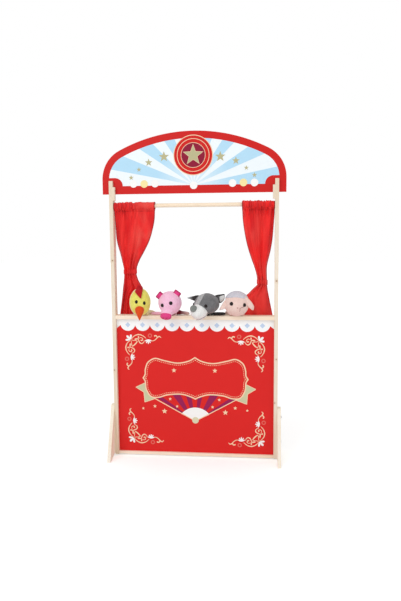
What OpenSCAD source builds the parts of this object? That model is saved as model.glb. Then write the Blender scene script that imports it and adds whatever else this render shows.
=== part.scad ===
// Floor-standing wooden puppet theatre: two posts on feet carry a front panel, a stage shelf,
// a curtain rod and an arched header board. Four glove puppets lean over the shelf.
// Millimetres, +Z up, front towards -Y, origin on the floor midway between the feet.

/* [Frame] */
// Clear width between the posts
opening_w = 560; // [548:2:640]
// Width of a post, seen from the front
post_w = 13; // [12:0.5:20]
// Depth of a post, front to back
post_d = 32; // [30:1:38]
// Gap between the floor and the underside of the posts
post_lift = 4; // [3:0.5:7]
// How far the posts reach up in front of the header board
post_lap = 45; // [30:1:60]

/* [Panel and rail] */
// Height of the panel between the rail and the shelf
panel_h = 488; // [400:1:560]
// Thickness of the panel
panel_t = 4; // [3:0.5:6]
// Depth of the grooves that hold the panel
groove_depth = 5; // [3:0.5:6]
// Depth of the grooves in the shelf and the rail
edge_groove = 4; // [3:0.5:5]
// Height of the bottom rail
rail_h = 10; // [9:0.5:14]
// Depth of the bottom rail, front to back
rail_d = 24; // [22:1:30]
// How far the rail's front stands in front of the panel's middle
rail_front = 10; // [9.5:0.5:14]

/* [Stage shelf] */
// Thickness of the stage shelf
shelf_t = 13; // [12:0.5:18]
// Depth of the stage shelf, front to back
shelf_d = 38; // [32:1:46]

/* [Header board] */
// Overall width of the header board
header_w = 636; // [600:1:720]
// Height of the header board at its middle
header_h = 210; // [180:1:240]
// Height of its straight sides
header_side_h = 50; // [30:1:60]
// Radius of its shoulders
shoulder_r = 110; // [80:1:118]
// Thickness of the header board
header_t = 6; // [4:0.5:9]
// Height of the stage window, from the shelf to the header board
window_h = 425; // [400:1:500]
// Width of the block beside each post that keeps the header upright
block_w = 7.5; // [5:0.5:12]
// How far a block reaches up in front of the header board
block_above = 24; // [15:1:28]
// How far a block reaches down below the header board
block_below = 22; // [12:1:22]

/* [Curtain rod] */
// Diameter of the curtain rod
rod_d = 14; // [10:0.5:16]
// Distance from the header board down to the middle of the rod
rod_drop = 40; // [38:1:60]
// How far each rod end is let into its post
rod_seat = 8; // [5:0.5:10]

/* [Feet] */
// Thickness of a foot board
foot_t = 12; // [9:0.5:18]
// How far a foot reaches in front of and behind its middle
foot_reach = 90; // [86:1:120]
// Height of a foot
foot_h = 188; // [170:1:230]
// Height of the arch under a foot
arch_h = 10; // [7:0.5:14]
// Length of each toe that stands on the floor
toe_l = 14; // [8:1:24]
// Radius of the upper corners of a foot
foot_corner_r = 8; // [4:0.5:12]

/* [Fasteners] */
// Diameter of the bolts that hold the feet
bolt_d = 6; // [4:0.5:8]
// Diameter of a bolt head
bolt_head_d = 14; // [11:0.5:16]
// Height of a bolt head
bolt_head_h = 4; // [2.5:0.5:6]
// Height of the lower bolts above the floor
bolt_low_z = 60; // [45:1:75]
// Height of the upper bolts above the floor
bolt_high_z = 150; // [110:1:155]
// Diameter of the wood screws
screw_d = 4; // [3:0.5:4.5]
// Length of the shelf screws
shelf_screw_l = 40; // [30:1:50]
// Diameter of the dowels in the ends of the rail
dowel_d = 5; // [4:0.5:6]
// Length of those dowels
dowel_l = 20; // [14:1:24]

/* [Curtains] */
// Width of the left curtain's heading along the rod
left_heading_w = 146; // [120:1:150]
// Width of the right curtain's heading along the rod
right_heading_w = 112; // [100:1:150]
// Width of the left curtain at its tie-back
left_waist_w = 45; // [36:1:50]
// Width of the right curtain at its tie-back
right_waist_w = 34; // [30:1:46]
// Distance from the left post to the outer edge of its curtain at the tie-back
left_waist_in = 22; // [16:1:30]
// Distance from the right post to the outer edge of its curtain at the tie-back
right_waist_in = 25; // [18:1:30]
// Height of the left tie-back above the shelf
left_tie_above = 153; // [140:1:170]
// Height of the right tie-back above the shelf
right_tie_above = 115; // [105:1:160]
// Height of a tie-back band
tie_h = 20; // [12:1:26]
// Thickness of a tie-back band
tie_t = 2.5; // [2:0.25:4]
// Thickness of the curtain cloth with its lining of air
cloth_t = 5; // [4:0.25:6]
// Half depth of the curtain's folds above the tie-back
fold_a = 7; // [5:0.5:10]
// Half depth of the folds below the tie-back
skirt_fold_a = 6; // [3:0.5:7]
// Number of folds across a curtain
folds = 5; // [4:1:6]

/* [Puppets] */
// Radius of a puppet's neck
neck_r = 7; // [5:0.25:7.5]
// Radius of a puppet's arms
arm_r = 6; // [4:0.25:7]
// Radius of a puppet's eyes
eye_r = 5.5; // [4:0.25:6]
// Thickness of a puppet's felt ears
ear_t = 7; // [5:0.5:8]
// Length of the gloves that hang behind the shelf
glove_l = 150; // [120:1:180]
// Width of a glove at its mouth
glove_w = 72; // [60:1:74]
// Depth of a glove at its mouth
glove_d = 40; // [34:1:42]
// Thickness of a glove's wall
glove_t = 3; // [2:0.25:4]
// Half width of the chick's head
chick_r = 37; // [32:0.5:38]
// Half height of the chick's head
chick_half_h = 49; // [44:0.5:54]
// Radius of the chick's beak at its root
beak_r = 16; // [12:0.5:17]
// Radius of the pig's head
pig_r = 41; // [36:0.5:42]
// Radius of the pig's snout
snout_r = 18.5; // [14:0.5:19]
// Half width of the dog's head
dog_r = 44; // [40:0.5:46]
// Half height of the dog's head
dog_half_h = 36; // [34:0.5:40]
// Radius of the dog's muzzle
muzzle_r = 30; // [26:0.5:31]
// Radius of the dog's nose
nose_r = 12.5; // [10:0.5:14]
// Radius of the lamb's head
lamb_r = 43; // [38:0.5:43.5]

/* [Fits] */
// Clearance around fixed pieces in their grooves and holes
fit = 0.2; // [0.1:0.05:0.3]
// Gap between soft pieces and what they rest on
soft_gap = 0.3; // [0.2:0.05:0.5]

/* [Hidden] */
$fn = 64;

// Small overlap that lets cutters pass through a face
cut = 1;

// Levels, from the floor up
z_rail = post_lift;
z_panel = z_rail + rail_h;
z_shelf = z_panel + panel_h;
z_stage = z_shelf + shelf_t;
z_header = z_stage + window_h;
z_post = z_header + post_lap;
z_rod = z_header - rod_drop;

// Faces of the posts
half_open = opening_w / 2;
post_out = half_open + post_w;
post_front = -post_d / 2;
shelf_back = post_front + shelf_d;
foot_out = post_out + foot_t;

// Bolts stand behind the panel, shelf screws on both sides of it
bolt_y = post_d / 4;
nut_r = bolt_d * 0.95;
nut_h = bolt_d * 0.8;
screw_r = screw_d / 2;
screw_head_r = screw_d;
screw_head_h = screw_r;
shelf_screw_ys = [post_front + 7, post_front + 25];
z_shelf_screw = z_shelf + shelf_t / 2;
dowel_ys = [-rail_front + 4.5, rail_d - rail_front - 6];
z_dowel = z_rail + rail_h / 2;
block_d = post_d / 2 - header_t / 2 - fit;
block_screw_l = block_w + post_w * 0.6;
block_screw_zs = [z_header - block_below / 2, z_header + block_above / 2];

// Mirrors a piece made on the left over to the right
module on_right() {
    mirror([1, 0, 0]) children();
}

module both_sides() {
    children();
    on_right() children();
}

// Countersunk screw lying along +X with its head's face at the origin
module wood_screw(length, grow = 0) {
    rotate([0, 90, 0]) {
        cylinder(h = length + grow, r = screw_r + grow, $fn = 24);
        cylinder(h = screw_head_h, r1 = screw_head_r + grow, r2 = screw_r + grow, $fn = 24);
    }
}

module shelf_screw_set(grow = 0) {
    for (y = shelf_screw_ys)
        translate([-post_out, y, z_shelf_screw]) wood_screw(shelf_screw_l, grow);
}

module block_screw_set(grow = 0) {
    for (z = block_screw_zs)
        translate([-half_open + block_w, post_front + block_d / 2, z])
            rotate([0, 0, 180]) wood_screw(block_screw_l, grow);
}

module foot_bolt_shanks(r) {
    for (z = [bolt_low_z, bolt_high_z])
        translate([-foot_out - cut, bolt_y, z]) rotate([0, 90, 0])
            cylinder(h = foot_t + post_w + 2 * cut, r = r, $fn = 32);
}

module dowel_set(r) {
    for (y = dowel_ys)
        translate([-half_open - dowel_l * 0.4, y, z_dowel]) rotate([0, 90, 0])
            cylinder(h = dowel_l, r = r, $fn = 24);
}

// Posts, blocks and header
module post() {
    color("burlywood") difference() {
        translate([-post_out, post_front, z_rail]) cube([post_w, post_d, z_post - z_rail]);
        // Slot that the header board drops into
        translate([-post_out - cut, -header_t / 2 - fit, z_header])
            cube([post_w + 2 * cut, header_t + 2 * fit, post_lap + cut]);
        // Groove for the panel, open at the bottom
        translate([-half_open - groove_depth, -panel_t / 2 - fit, z_rail - cut])
            cube([groove_depth + cut, panel_t + 2 * fit, z_shelf + edge_groove - z_rail + cut]);
        translate([-half_open - rod_seat, 0, z_rod]) rotate([0, 90, 0])
            cylinder(h = rod_seat + cut, r = rod_d / 2 + fit);
        foot_bolt_shanks(bolt_d / 2 + fit);
        shelf_screw_set(fit / 2);
        block_screw_set(fit / 2);
        dowel_set(dowel_d / 2);
    }
}

module left_post() {
    post();
}

module right_post() {
    on_right() post();
}

module header_block() {
    color("burlywood") difference() {
        translate([-half_open, post_front, z_header - block_below])
            cube([block_w, block_d, block_below + block_above]);
        block_screw_set(fit / 2);
    }
}

module left_header_block() {
    header_block();
}

module right_header_block() {
    on_right() header_block();
}

// The arch runs into each shoulder without a corner: one large circle touches both shoulder
// circles from outside, so its middle follows from the height, the width and the shoulders.
module header_outline() {
    shoulder_x = header_w / 2 - shoulder_r;
    shoulder_z = header_side_h;
    crown = header_h - shoulder_r;
    arch_mid = (crown * crown - shoulder_z * shoulder_z - shoulder_x * shoulder_x)
        / (2 * (crown - shoulder_z));
    arch_r = header_h - arch_mid;
    reach = 2 * arch_r / norm([shoulder_x, shoulder_z - arch_mid]);
    intersection() {
        translate([0, arch_mid]) circle(r = arch_r, $fn = 180);
        polygon([[0, arch_mid],
            [-shoulder_x * reach, arch_mid + (shoulder_z - arch_mid) * reach],
            [shoulder_x * reach, arch_mid + (shoulder_z - arch_mid) * reach]]);
        translate([-header_w / 2, 0]) square([header_w, header_h]);
    }
    intersection() {
        for (s = [-1, 1])
            translate([s * shoulder_x, shoulder_z]) circle(r = shoulder_r, $fn = 90);
        translate([-header_w / 2, 0]) square([header_w, header_h]);
    }
    translate([-header_w / 2, 0]) square([header_w, header_side_h]);
}

module header_board() {
    color("firebrick") translate([0, header_t / 2, z_header]) rotate([90, 0, 0])
        linear_extrude(height = header_t) header_outline();
}

module front_panel() {
    let_in = groove_depth - fit;
    color("firebrick") translate([-half_open - let_in, -panel_t / 2, z_panel - edge_groove + fit])
        cube([opening_w + 2 * let_in, panel_t, panel_h + 2 * (edge_groove - fit)]);
}

module panel_groove(z) {
    translate([-half_open - cut, -panel_t / 2 - fit, z])
        cube([opening_w + 2 * cut, panel_t + 2 * fit, edge_groove + cut]);
}

module stage_shelf() {
    color("burlywood") difference() {
        translate([-half_open, post_front, z_shelf]) cube([opening_w, shelf_d, shelf_t]);
        panel_groove(z_shelf - cut);
        both_sides() shelf_screw_set(fit / 2);
    }
}

module bottom_rail() {
    color("burlywood") difference() {
        translate([-half_open, -rail_front, z_rail]) cube([opening_w, rail_d, rail_h]);
        panel_groove(z_panel - edge_groove);
        both_sides() dowel_set(dowel_d / 2);
    }
}

module foot_outline() {
    arch_half = foot_reach - toe_l;
    arch_r = (arch_half * arch_half + arch_h * arch_h) / (2 * arch_h);
    top_half = post_d / 2;
    difference() {
        union() {
            polygon([[-foot_reach, 0], [foot_reach, 0], [top_half, foot_h - foot_corner_r],
                [-top_half, foot_h - foot_corner_r]]);
            translate([-top_half + foot_corner_r, 0])
                square([2 * (top_half - foot_corner_r), foot_h]);
            for (s = [-1, 1])
                translate([s * (top_half - foot_corner_r), foot_h - foot_corner_r])
                    circle(r = foot_corner_r, $fn = 32);
        }
        translate([0, arch_h - arch_r]) circle(r = arch_r, $fn = 180);
    }
}

module foot() {
    color("burlywood") difference() {
        translate([-foot_out, 0, 0]) rotate([90, 0, 90]) linear_extrude(height = foot_t) foot_outline();
        foot_bolt_shanks(bolt_d / 2 + fit);
    }
}

module left_foot() {
    foot();
}

module right_foot() {
    on_right() foot();
}

// Each bolt has a low domed head outside the foot and a nut against the inner face of the post
module foot_bolts() {
    dome_r = (bolt_head_d * bolt_head_d / 4 + bolt_head_h * bolt_head_h) / (2 * bolt_head_h);
    color("silver") both_sides() for (z = [bolt_low_z, bolt_high_z])
        translate([-foot_out, bolt_y, z]) rotate([0, 90, 0]) {
            cylinder(h = foot_t + post_w + nut_h + 1, r = bolt_d / 2, $fn = 32);
            intersection() {
                translate([0, 0, dome_r - bolt_head_h]) sphere(r = dome_r);
                translate([0, 0, -bolt_head_h]) cylinder(h = bolt_head_h, r = bolt_head_d / 2);
            }
        }
}

module foot_nuts() {
    color("silver") both_sides() for (z = [bolt_low_z, bolt_high_z])
        translate([-half_open, bolt_y, z]) rotate([0, 90, 0]) difference() {
            cylinder(h = nut_h, r = nut_r, $fn = 6);
            translate([0, 0, -cut]) cylinder(h = nut_h + 2 * cut, r = bolt_d / 2 + fit / 2, $fn = 32);
        }
}

module shelf_screws() {
    color("silver") both_sides() shelf_screw_set();
}

module block_screws() {
    color("silver") both_sides() block_screw_set();
}

module rail_dowels() {
    color("tan") both_sides() dowel_set(dowel_d / 2 - fit / 4);
}

module curtain_rod() {
    rod_l = opening_w + 2 * (rod_seat - fit);
    color("tan") translate([-rod_l / 2, 0, z_rod]) rotate([0, 90, 0]) cylinder(h = rod_l, r = rod_d / 2);
}

// Curtains. The cloth is gathered on the rod, drawn in at the tie-back and flares below it.
// Above the tie-back the edges are shares of the way from there to the rod. Below it each flare gives
// how far the inner edge stands out from the waist, at so far below the band.
gather_inner = [[0, 0], [0.11, 0.1], [0.2, 0.26], [0.3, 0.43], [0.4, 0.59], [0.5, 0.72], [0.62, 0.83],
    [0.75, 0.93], [0.88, 0.98], [1, 1]];
left_gather_outer = [[0, 1], [0.06, 0.87], [0.23, 0.67], [0.4, 0.24], [0.5, 0.03], [0.6, 0], [1, 0]];
right_gather_outer = [[0, 1], [0.1, 1.06], [0.21, 1], [0.35, 0.61], [0.51, 0.29], [0.72, 0.12], [0.9, 0], [1, 0]];
flare_outer = [[0, 1], [0.2, 0.88], [0.6, 0.54], [1, 0.18]];
left_flare = [[0, 0], [21, 6], [41, 17], [50, 23], [66, 3], [80, -6], [110, -14]];
right_flare = [[0, 0], [12, 14], [28, 29], [39, 42], [50, 44], [75, 44]];
swing_back = [[0, 1], [0.16, 1], [0.35, 0.75], [0.6, 0.4], [0.9, 0], [1, 0]];

pocket_r = rod_d / 2 + 1;
pocket_t = 2 * pocket_r + 7;
heading_top = pocket_r + 6;
hem_drop = 15;
heading_fold_a = 3.5;
post_gap = soft_gap + 0.4;
skirt_gap = 1;
skirt_half = skirt_fold_a + cloth_t / 2;
skirt_y = shelf_back + skirt_gap + skirt_half;
cloth_columns = 32;

// A curtain's own measures: middle height of its tie-back, width of its heading, distance of its waist
// from the post, width of its waist
left_hang = [z_stage + left_tie_above, left_heading_w, left_waist_in, left_waist_w];
right_hang = [z_stage + right_tie_above, right_heading_w, right_waist_in, right_waist_w];

function tie_top(hang) = hang[0] + tie_h / 2;
function tie_bottom(hang) = hang[0] - tie_h / 2;
function share(a, b, z) = (z - a) / (b - a);
function edge_inner(z, hang, flare) =
    let (waist = hang[2] + hang[3])
    z >= hang[0] ? waist + (hang[1] - waist) * lookup(share(tie_top(hang), z_rod, z), gather_inner)
    : waist + lookup(tie_bottom(hang) - z, flare);
function edge_outer(z, hang, gather_outer) =
    post_gap + (hang[2] - post_gap) * (z >= hang[0]
    ? lookup(share(tie_top(hang), z_rod, z), gather_outer)
    : lookup(share(tie_bottom(hang), z_stage, z), flare_outer));
function fold_depth(z, hang) =
    z >= z_rod - pocket_t / 2 ? heading_fold_a
    : skirt_fold_a + (fold_a - skirt_fold_a) * lookup(share(tie_top(hang), z_rod, z), [[0, 0], [0.5, 1]]);
function cloth_depth(z) =
    lookup(z - z_rod, [[-pocket_r - 14, cloth_t], [-pocket_r - 7, cloth_t + 5], [-pocket_r, pocket_t - 2],
        [0, pocket_t], [pocket_r + 1, pocket_t - 4], [heading_top, cloth_t]]);

module curtain(hang, flare, gather_outer) {
    n = cloth_columns;
    rise = z_rod - pocket_r - 14 - tie_top(hang);
    row_z = [z_stage - hem_drop, for (k = [len(flare) - 1:-1:0]) tie_bottom(hang) - flare[k][0],
        tie_top(hang), for (t = [0.1, 0.22, 0.36, 0.52, 0.72, 1]) tie_top(hang) + rise * t,
        z_rod - pocket_r, z_rod, z_rod + pocket_r + 1, z_rod + heading_top];
    m = len(row_z) - 1;
    function place(i, j) =
        let (u = i / n,
            z = row_z[j] - (j == m ? 4 * (2 * u - 1) * (2 * u - 1) : 0),
            outer = edge_outer(z, hang, gather_outer),
            d = outer + (edge_inner(z, hang, flare) - outer) * u,
            mid = skirt_y * lookup(share(hang[0], z_rod, z), swing_back),
            wave = fold_depth(z, hang) * sin(360 * folds * u + 40))
        [-half_open + d, mid + wave, z, cloth_depth(z) / 2];
    front = [for (j = [0:m]) for (i = [0:n]) let (p = place(i, j)) [p[0], p[1] - p[3], p[2]]];
    back = [for (j = [0:m]) for (i = [0:n]) let (p = place(i, j)) [p[0], p[1] + p[3], p[2]]];
    w = n + 1;
    k = len(front);
    front_faces = [for (j = [0:m - 1]) for (i = [0:n - 1])
        each [[j * w + i, (j + 1) * w + i, (j + 1) * w + i + 1], [j * w + i, (j + 1) * w + i + 1, j * w + i + 1]]];
    back_faces = [for (f = front_faces) [f[2] + k, f[1] + k, f[0] + k]];
    left_edge = [for (j = [0:m - 1])
        each [[j * w, j * w + k, (j + 1) * w + k], [j * w, (j + 1) * w + k, (j + 1) * w]]];
    right_edge = [for (j = [0:m - 1])
        each [[j * w + n, (j + 1) * w + n, (j + 1) * w + n + k], [j * w + n, (j + 1) * w + n + k, j * w + n + k]]];
    hem_edge = [for (i = [0:n - 1]) each [[i, i + 1, i + 1 + k], [i, i + 1 + k, i + k]]];
    top_edge = [for (i = [0:n - 1])
        each [[m * w + i, m * w + i + k, m * w + i + 1 + k], [m * w + i, m * w + i + 1 + k, m * w + i + 1]]];
    color("red") difference() {
        polyhedron(points = concat(front, back),
            faces = concat(front_faces, back_faces, left_edge, right_edge, hem_edge, top_edge), convexity = 10);
        translate([-half_open - cut, 0, z_rod]) rotate([0, 90, 0])
            cylinder(h = hang[1] + 2 * cut, r = pocket_r - 0.3);
    }
}

module left_curtain() {
    curtain(left_hang, left_flare, left_gather_outer);
}

module right_curtain() {
    on_right() curtain(right_hang, right_flare, right_gather_outer);
}

// A flat band round the narrowest part of a curtain
module tie_back(hang) {
    depth = 2 * fold_depth(hang[0], hang) + cloth_t + 2 * soft_gap;
    length = hang[3] + 3 * soft_gap;
    color("red") translate([-half_open + hang[2] + hang[3] / 2, skirt_y, tie_bottom(hang)])
        linear_extrude(height = tie_h) difference() {
            rounded_bar(length + 2 * tie_t, depth + 2 * tie_t, tie_t + 1);
            rounded_bar(length, depth, 1);
        }
}

module rounded_bar(length, depth, r) {
    square([length - 2 * r, depth], center = true);
    square([length, depth - 2 * r], center = true);
    for (x = [-1, 1], y = [-1, 1])
        translate([x * (length / 2 - r), y * (depth / 2 - r)]) circle(r = r, $fn = 32);
}

module left_tie_back() {
    tie_back(left_hang);
}

module right_tie_back() {
    on_right() tie_back(right_hang);
}

// Puppets. Each head stands behind the front of the shelf by its own radius
function head_y(r) = shelf_back - 2 - r;
chick_at = [-half_open + 89.5, head_y(chick_r), chick_half_h + soft_gap];
pig_at = [chick_at[0] + 107.5, head_y(pig_r), pig_r + 6];
lamb_at = [half_open - 130, head_y(lamb_r), lamb_r + 1.5];
dog_at = [lamb_at[0] - 103.5, head_y(dog_r), dog_half_h + 9.5];

// How far each puppet's arms reach to the left and to the right of its head's middle
chick_reach = [26, 28];
pig_reach = [77, 66];
dog_reach = [40, 65];
lamb_reach = [28, 26];

module at_head(place) {
    translate([place[0], place[1], z_stage + place[2]]) children();
}

// Point on a head of this radius and half height, turned to the right and up from straight ahead
function on_head(r, h, turn, up) = [r * cos(up) * sin(turn), -r * cos(up) * cos(turn), h * sin(up)];

module egg(r, half_h) {
    steps = 18;
    rotate_extrude($fn = 120) polygon([for (i = [0:steps])
        let (a = -90 + 180 * i / steps) [r * cos(a) * (1 - 0.06 * sin(a)), half_h * sin(a)]]);
}

module ball(r) {
    sphere(r = r, $fn = 120);
}

// Turns +Z into the line from one point to another
module along(a, b) {
    d = b - a;
    translate(a) rotate([0, acos(d[2] / norm(d)), atan2(d[1], d[0])]) children();
}

module rod_between(a, b, r) {
    steps = 6;
    length = norm(b - a);
    along(a, b) rotate_extrude($fn = 48) polygon([
        for (i = [0:steps]) let (t = -90 + 90 * i / steps) [r * cos(t), r * sin(t)],
        for (i = [0:steps]) let (t = 90 * i / steps) [r * cos(t), length + r * sin(t)]]);
}

// The glove is a closed loft: the outer wall goes up from the mouth, the inner wall comes back down
glove_back = skirt_y + skirt_half + 2;
glove_points = 12;
glove_shape = [[0, 1], [0.2, 0.96], [0.45, 0.88], [0.7, 0.8], [0.88, 0.66], [0.97, 0.42]];

function glove_ring(x, y, z, w, d) =
    [for (i = [0:glove_points - 1]) let (a = 360 * i / glove_points) [x + w / 2 * cos(a), y + d / 2 * sin(a), z]];
function wall_rings(x, inset) =
    [for (s = glove_shape) glove_ring(x, glove_back + glove_d / 2,
        z_stage + soft_gap + 2 * neck_r - glove_l * (1 - s[0]) - (s[0] > 0.9 ? inset : 0),
        glove_w * s[1] - 2 * inset, glove_d * (0.5 + s[1] / 2) - 2 * inset)];

module glove_shell(x) {
    rings = concat(wall_rings(x, 0), [for (i = [5:-1:0]) wall_rings(x, glove_t)[i]]);
    n = glove_points;
    half = len(glove_shape);
    walls = [for (j = [0:2 * half - 2]) if (j != half - 1) for (i = [0:n - 1])
        let (a = j * n + i, b = j * n + (i + 1) % n) each [[a, a + n, b + n], [a, b + n, b]]];
    last = (2 * half - 1) * n;
    rim = [for (i = [0:n - 1]) let (b = (i + 1) % n) each [[i, b, last + b], [i, last + b, last + i]]];
    outer_cap = [for (i = [1:n - 2]) [(half - 1) * n, (half - 1) * n + i + 1, (half - 1) * n + i]];
    inner_cap = [for (i = [1:n - 2]) [half * n, half * n + i, half * n + i + 1]];
    polyhedron(points = [for (r = rings) each r], faces = concat(walls, rim, outer_cap, inner_cap));
}

// Neck from under the head back over the shelf, with the arms lying on the shelf
module neck_and_arms(neck_from, neck_to, arms, arm_y) {
    z_neck = z_stage + soft_gap + neck_r;
    z_arm = z_stage + soft_gap + arm_r;
    rod_between([neck_from, -6, z_neck], [neck_to, glove_back + glove_d / 2, z_neck], neck_r);
    rod_between([arms[0] + arm_r, arm_y, z_arm], [arms[1] - arm_r, arm_y, z_arm], arm_r);
}

module eye_pair(place, r, h, left, right) {
    at_head(place) for (turn = [left, right])
        translate(on_head(r, h, turn[0], turn[1]) * 0.98) sphere(r = eye_r, $fn = 48);
}

// A flat felt ear across the head, its root let into it. Tilt turns it clockwise, as seen from the front
module ear(middle, tilt, outline) {
    translate(middle) rotate([90, tilt, 0]) translate([0, 0, -ear_t / 2])
        linear_extrude(height = ear_t) polygon(outline);
}

// Chick
module chick_head() {
    color("khaki") at_head(chick_at) egg(chick_r, chick_half_h);
}

module chick_comb() {
    top = chick_half_h;
    color("crimson") difference() {
        at_head(chick_at) translate([0, -chick_r * 0.35, 0]) rotate([90, 0, 0])
            linear_extrude(height = chick_r * 0.75) polygon([[-2, top + 13], [-9, top + 2], [-14, top - 11],
                [4, top - 29], [9, top - 33], [12, top - 29], [14, top - 4], [7, top + 9]]);
        chick_head();
    }
}

module chick_beak() {
    root = on_head(chick_r, chick_half_h, 7, -22) * 0.66;
    tip = [6, -32, 3 - chick_half_h];
    color("darkorange") difference() {
        at_head(chick_at) along(root, root + tip) cylinder(h = norm(tip), r1 = beak_r, r2 = 1.5);
        chick_head();
    }
}

module chick_eyes() {
    color("black") difference() {
        eye_pair(chick_at, chick_r, chick_half_h, [-7, 4.5], [34, -2]);
        chick_head();
    }
}

module chick_glove() {
    x = chick_at[0];
    color("khaki") difference() {
        union() {
            glove_shell(x + 26);
            neck_and_arms(x + 10, x + 26, [x - chick_reach[0], x + chick_reach[1]], -2);
        }
        chick_head();
    }
}

// Pig
module pig_head() {
    color("pink") at_head(pig_at) ball(pig_r);
}

module pig_snout() {
    axis = on_head(pig_r, pig_r, -15, -46);
    color("hotpink") difference() {
        at_head(pig_at) along(axis * 0.75, axis * 1.5) cylinder(h = norm(axis) * 0.75, r = snout_r);
        pig_head();
    }
}

module pig_ears() {
    flap = [[-12, -11], [12, -11], [12.5, 7], [-12.5, 7]];
    color("hotpink") difference() {
        at_head(pig_at) {
            ear(pig_r * [-0.88, -0.24, 0.68], -50, flap);
            ear(pig_r * [0.68, -0.24, 0.87], 37, flap);
        }
        pig_head();
    }
}

module pig_eyes() {
    color("black") difference() {
        eye_pair(pig_at, pig_r, pig_r, [-33, -8], [13.5, 4]);
        pig_head();
    }
}

module pig_glove() {
    x = pig_at[0];
    color("pink") difference() {
        union() {
            glove_shell(x);
            neck_and_arms(x, x, [x - pig_reach[0], x + pig_reach[1]], 8);
        }
        pig_head();
    }
}

// Dog. Its muzzle's middle is measured from the middle of its head
muzzle_at = [-24.5, -26, -26];

module dog_head() {
    color("gray") at_head(dog_at) egg(dog_r, dog_half_h);
}

module muzzle_ball() {
    at_head(dog_at) translate(muzzle_at) scale([1, 1, 0.92]) ball(muzzle_r);
}

module dog_muzzle() {
    color("white") difference() {
        muzzle_ball();
        dog_head();
    }
}

module dog_nose() {
    color("dimgray") difference() {
        at_head(dog_at) translate(muzzle_at + muzzle_r * [-0.55, -0.73, 0.45]) ball(nose_r);
        muzzle_ball();
        dog_head();
    }
}

module dog_ears() {
    color("dimgray") difference() {
        at_head(dog_at) {
            ear([-dog_r * 0.8, 0, dog_half_h * 0.5], 0,
                [[-34, 1], [-15, 7], [4, 11], [13, 6], [1, -10], [-11, -8]]);
            ear([dog_r * 0.91, dog_r * 0.5, dog_half_h * 0.42], 0,
                [[-20, 6], [-7, 13], [19, 16], [21.5, 9], [19, -4], [7, -16], [-8, -13]]);
        }
        dog_head();
    }
}

module dog_eyes() {
    color("black") difference() {
        eye_pair(dog_at, dog_r, dog_half_h, [0, -6], [-88, -4]);
        dog_head();
        muzzle_ball();
    }
}

module dog_glove() {
    x = dog_at[0];
    color("gray") difference() {
        union() {
            glove_shell(x - 4);
            neck_and_arms(x, x - 4, [x - dog_reach[0], x + dog_reach[1]], 6);
        }
        dog_head();
        muzzle_ball();
    }
}

// Lamb
module lamb_head() {
    color("mistyrose") at_head(lamb_at) ball(lamb_r);
}

module lamb_cap() {
    color("lavender") difference() {
        at_head(lamb_at) difference() {
            ball(lamb_r + 2);
            translate([0, 0, lamb_r / 2]) rotate([-12, 0, 0])
                translate([-2 * lamb_r, -2 * lamb_r, -3 * lamb_r]) cube([4 * lamb_r, 4 * lamb_r, 3 * lamb_r]);
        }
        lamb_head();
    }
}

module lamb_ears() {
    color("mistyrose") difference() {
        at_head(lamb_at) {
            ear(lamb_r * [-1.05, -0.4, -0.07], 0,
                [[11, 17], [8, 21], [-5, 3], [-14.5, -17], [0, -15], [8, -10], [12, -1]]);
            ear(lamb_r * [0.93, -0.44, 0.12], 0,
                [[-14, 21], [-9, 23], [8, 8], [20, -11], [17, -25], [5, -18], [-4, -9], [-12, 3]]);
        }
        lamb_head();
        lamb_cap();
    }
}

module lamb_eyes() {
    color("black") difference() {
        eye_pair(lamb_at, lamb_r, lamb_r, [-22, 7], [41, 0]);
        lamb_head();
    }
}

module lamb_glove() {
    x = lamb_at[0];
    color("mistyrose") difference() {
        union() {
            glove_shell(x - 24);
            neck_and_arms(x - 4, x - 38, [x - lamb_reach[0], x + lamb_reach[1]], -6);
        }
        lamb_head();
    }
}

left_post();
right_post();
left_header_block();
right_header_block();
header_board();
front_panel();
stage_shelf();
bottom_rail();
left_foot();
right_foot();
foot_bolts();
foot_nuts();
shelf_screws();
block_screws();
rail_dowels();
curtain_rod();
left_curtain();
left_tie_back();
right_curtain();
right_tie_back();
chick_head();
chick_comb();
chick_beak();
chick_eyes();
chick_glove();
pig_head();
pig_snout();
pig_ears();
pig_eyes();
pig_glove();
dog_head();
dog_muzzle();
dog_nose();
dog_ears();
dog_eyes();
dog_glove();
lamb_head();
lamb_cap();
lamb_ears();
lamb_eyes();
lamb_glove();
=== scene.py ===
"""Looks of the puppet theatre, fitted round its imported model.

Shapes are in millimetres. The camera, the lamps and the flat sizes of cloth are in metres.
"""

from math import asin, atan2, copysign, cos, degrees, exp, pi, radians, sin, sqrt

import bmesh
import bpy
from mathutils import Matrix, Vector, noise


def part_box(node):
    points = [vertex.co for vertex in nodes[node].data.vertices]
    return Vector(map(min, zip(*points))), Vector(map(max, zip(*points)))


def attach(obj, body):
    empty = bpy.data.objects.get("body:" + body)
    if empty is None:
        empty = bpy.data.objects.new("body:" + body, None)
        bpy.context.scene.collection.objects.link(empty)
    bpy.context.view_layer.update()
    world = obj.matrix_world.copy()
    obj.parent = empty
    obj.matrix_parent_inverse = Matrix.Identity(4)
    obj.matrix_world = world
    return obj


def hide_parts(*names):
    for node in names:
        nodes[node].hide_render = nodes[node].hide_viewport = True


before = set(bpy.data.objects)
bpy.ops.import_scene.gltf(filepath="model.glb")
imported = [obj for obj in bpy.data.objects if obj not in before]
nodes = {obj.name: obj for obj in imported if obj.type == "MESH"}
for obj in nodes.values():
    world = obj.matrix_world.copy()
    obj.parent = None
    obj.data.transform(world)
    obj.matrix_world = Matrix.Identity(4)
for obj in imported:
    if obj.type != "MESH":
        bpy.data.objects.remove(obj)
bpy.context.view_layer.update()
MM = 0.001
ACROSS = Vector((1, 0, 0))
UP = Vector((0, 0, 1))


def new_object(name, data):
    """An object, put into the scene."""
    piece = bpy.data.objects.new(name, data)
    bpy.context.scene.collection.objects.link(piece)
    return piece


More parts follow.
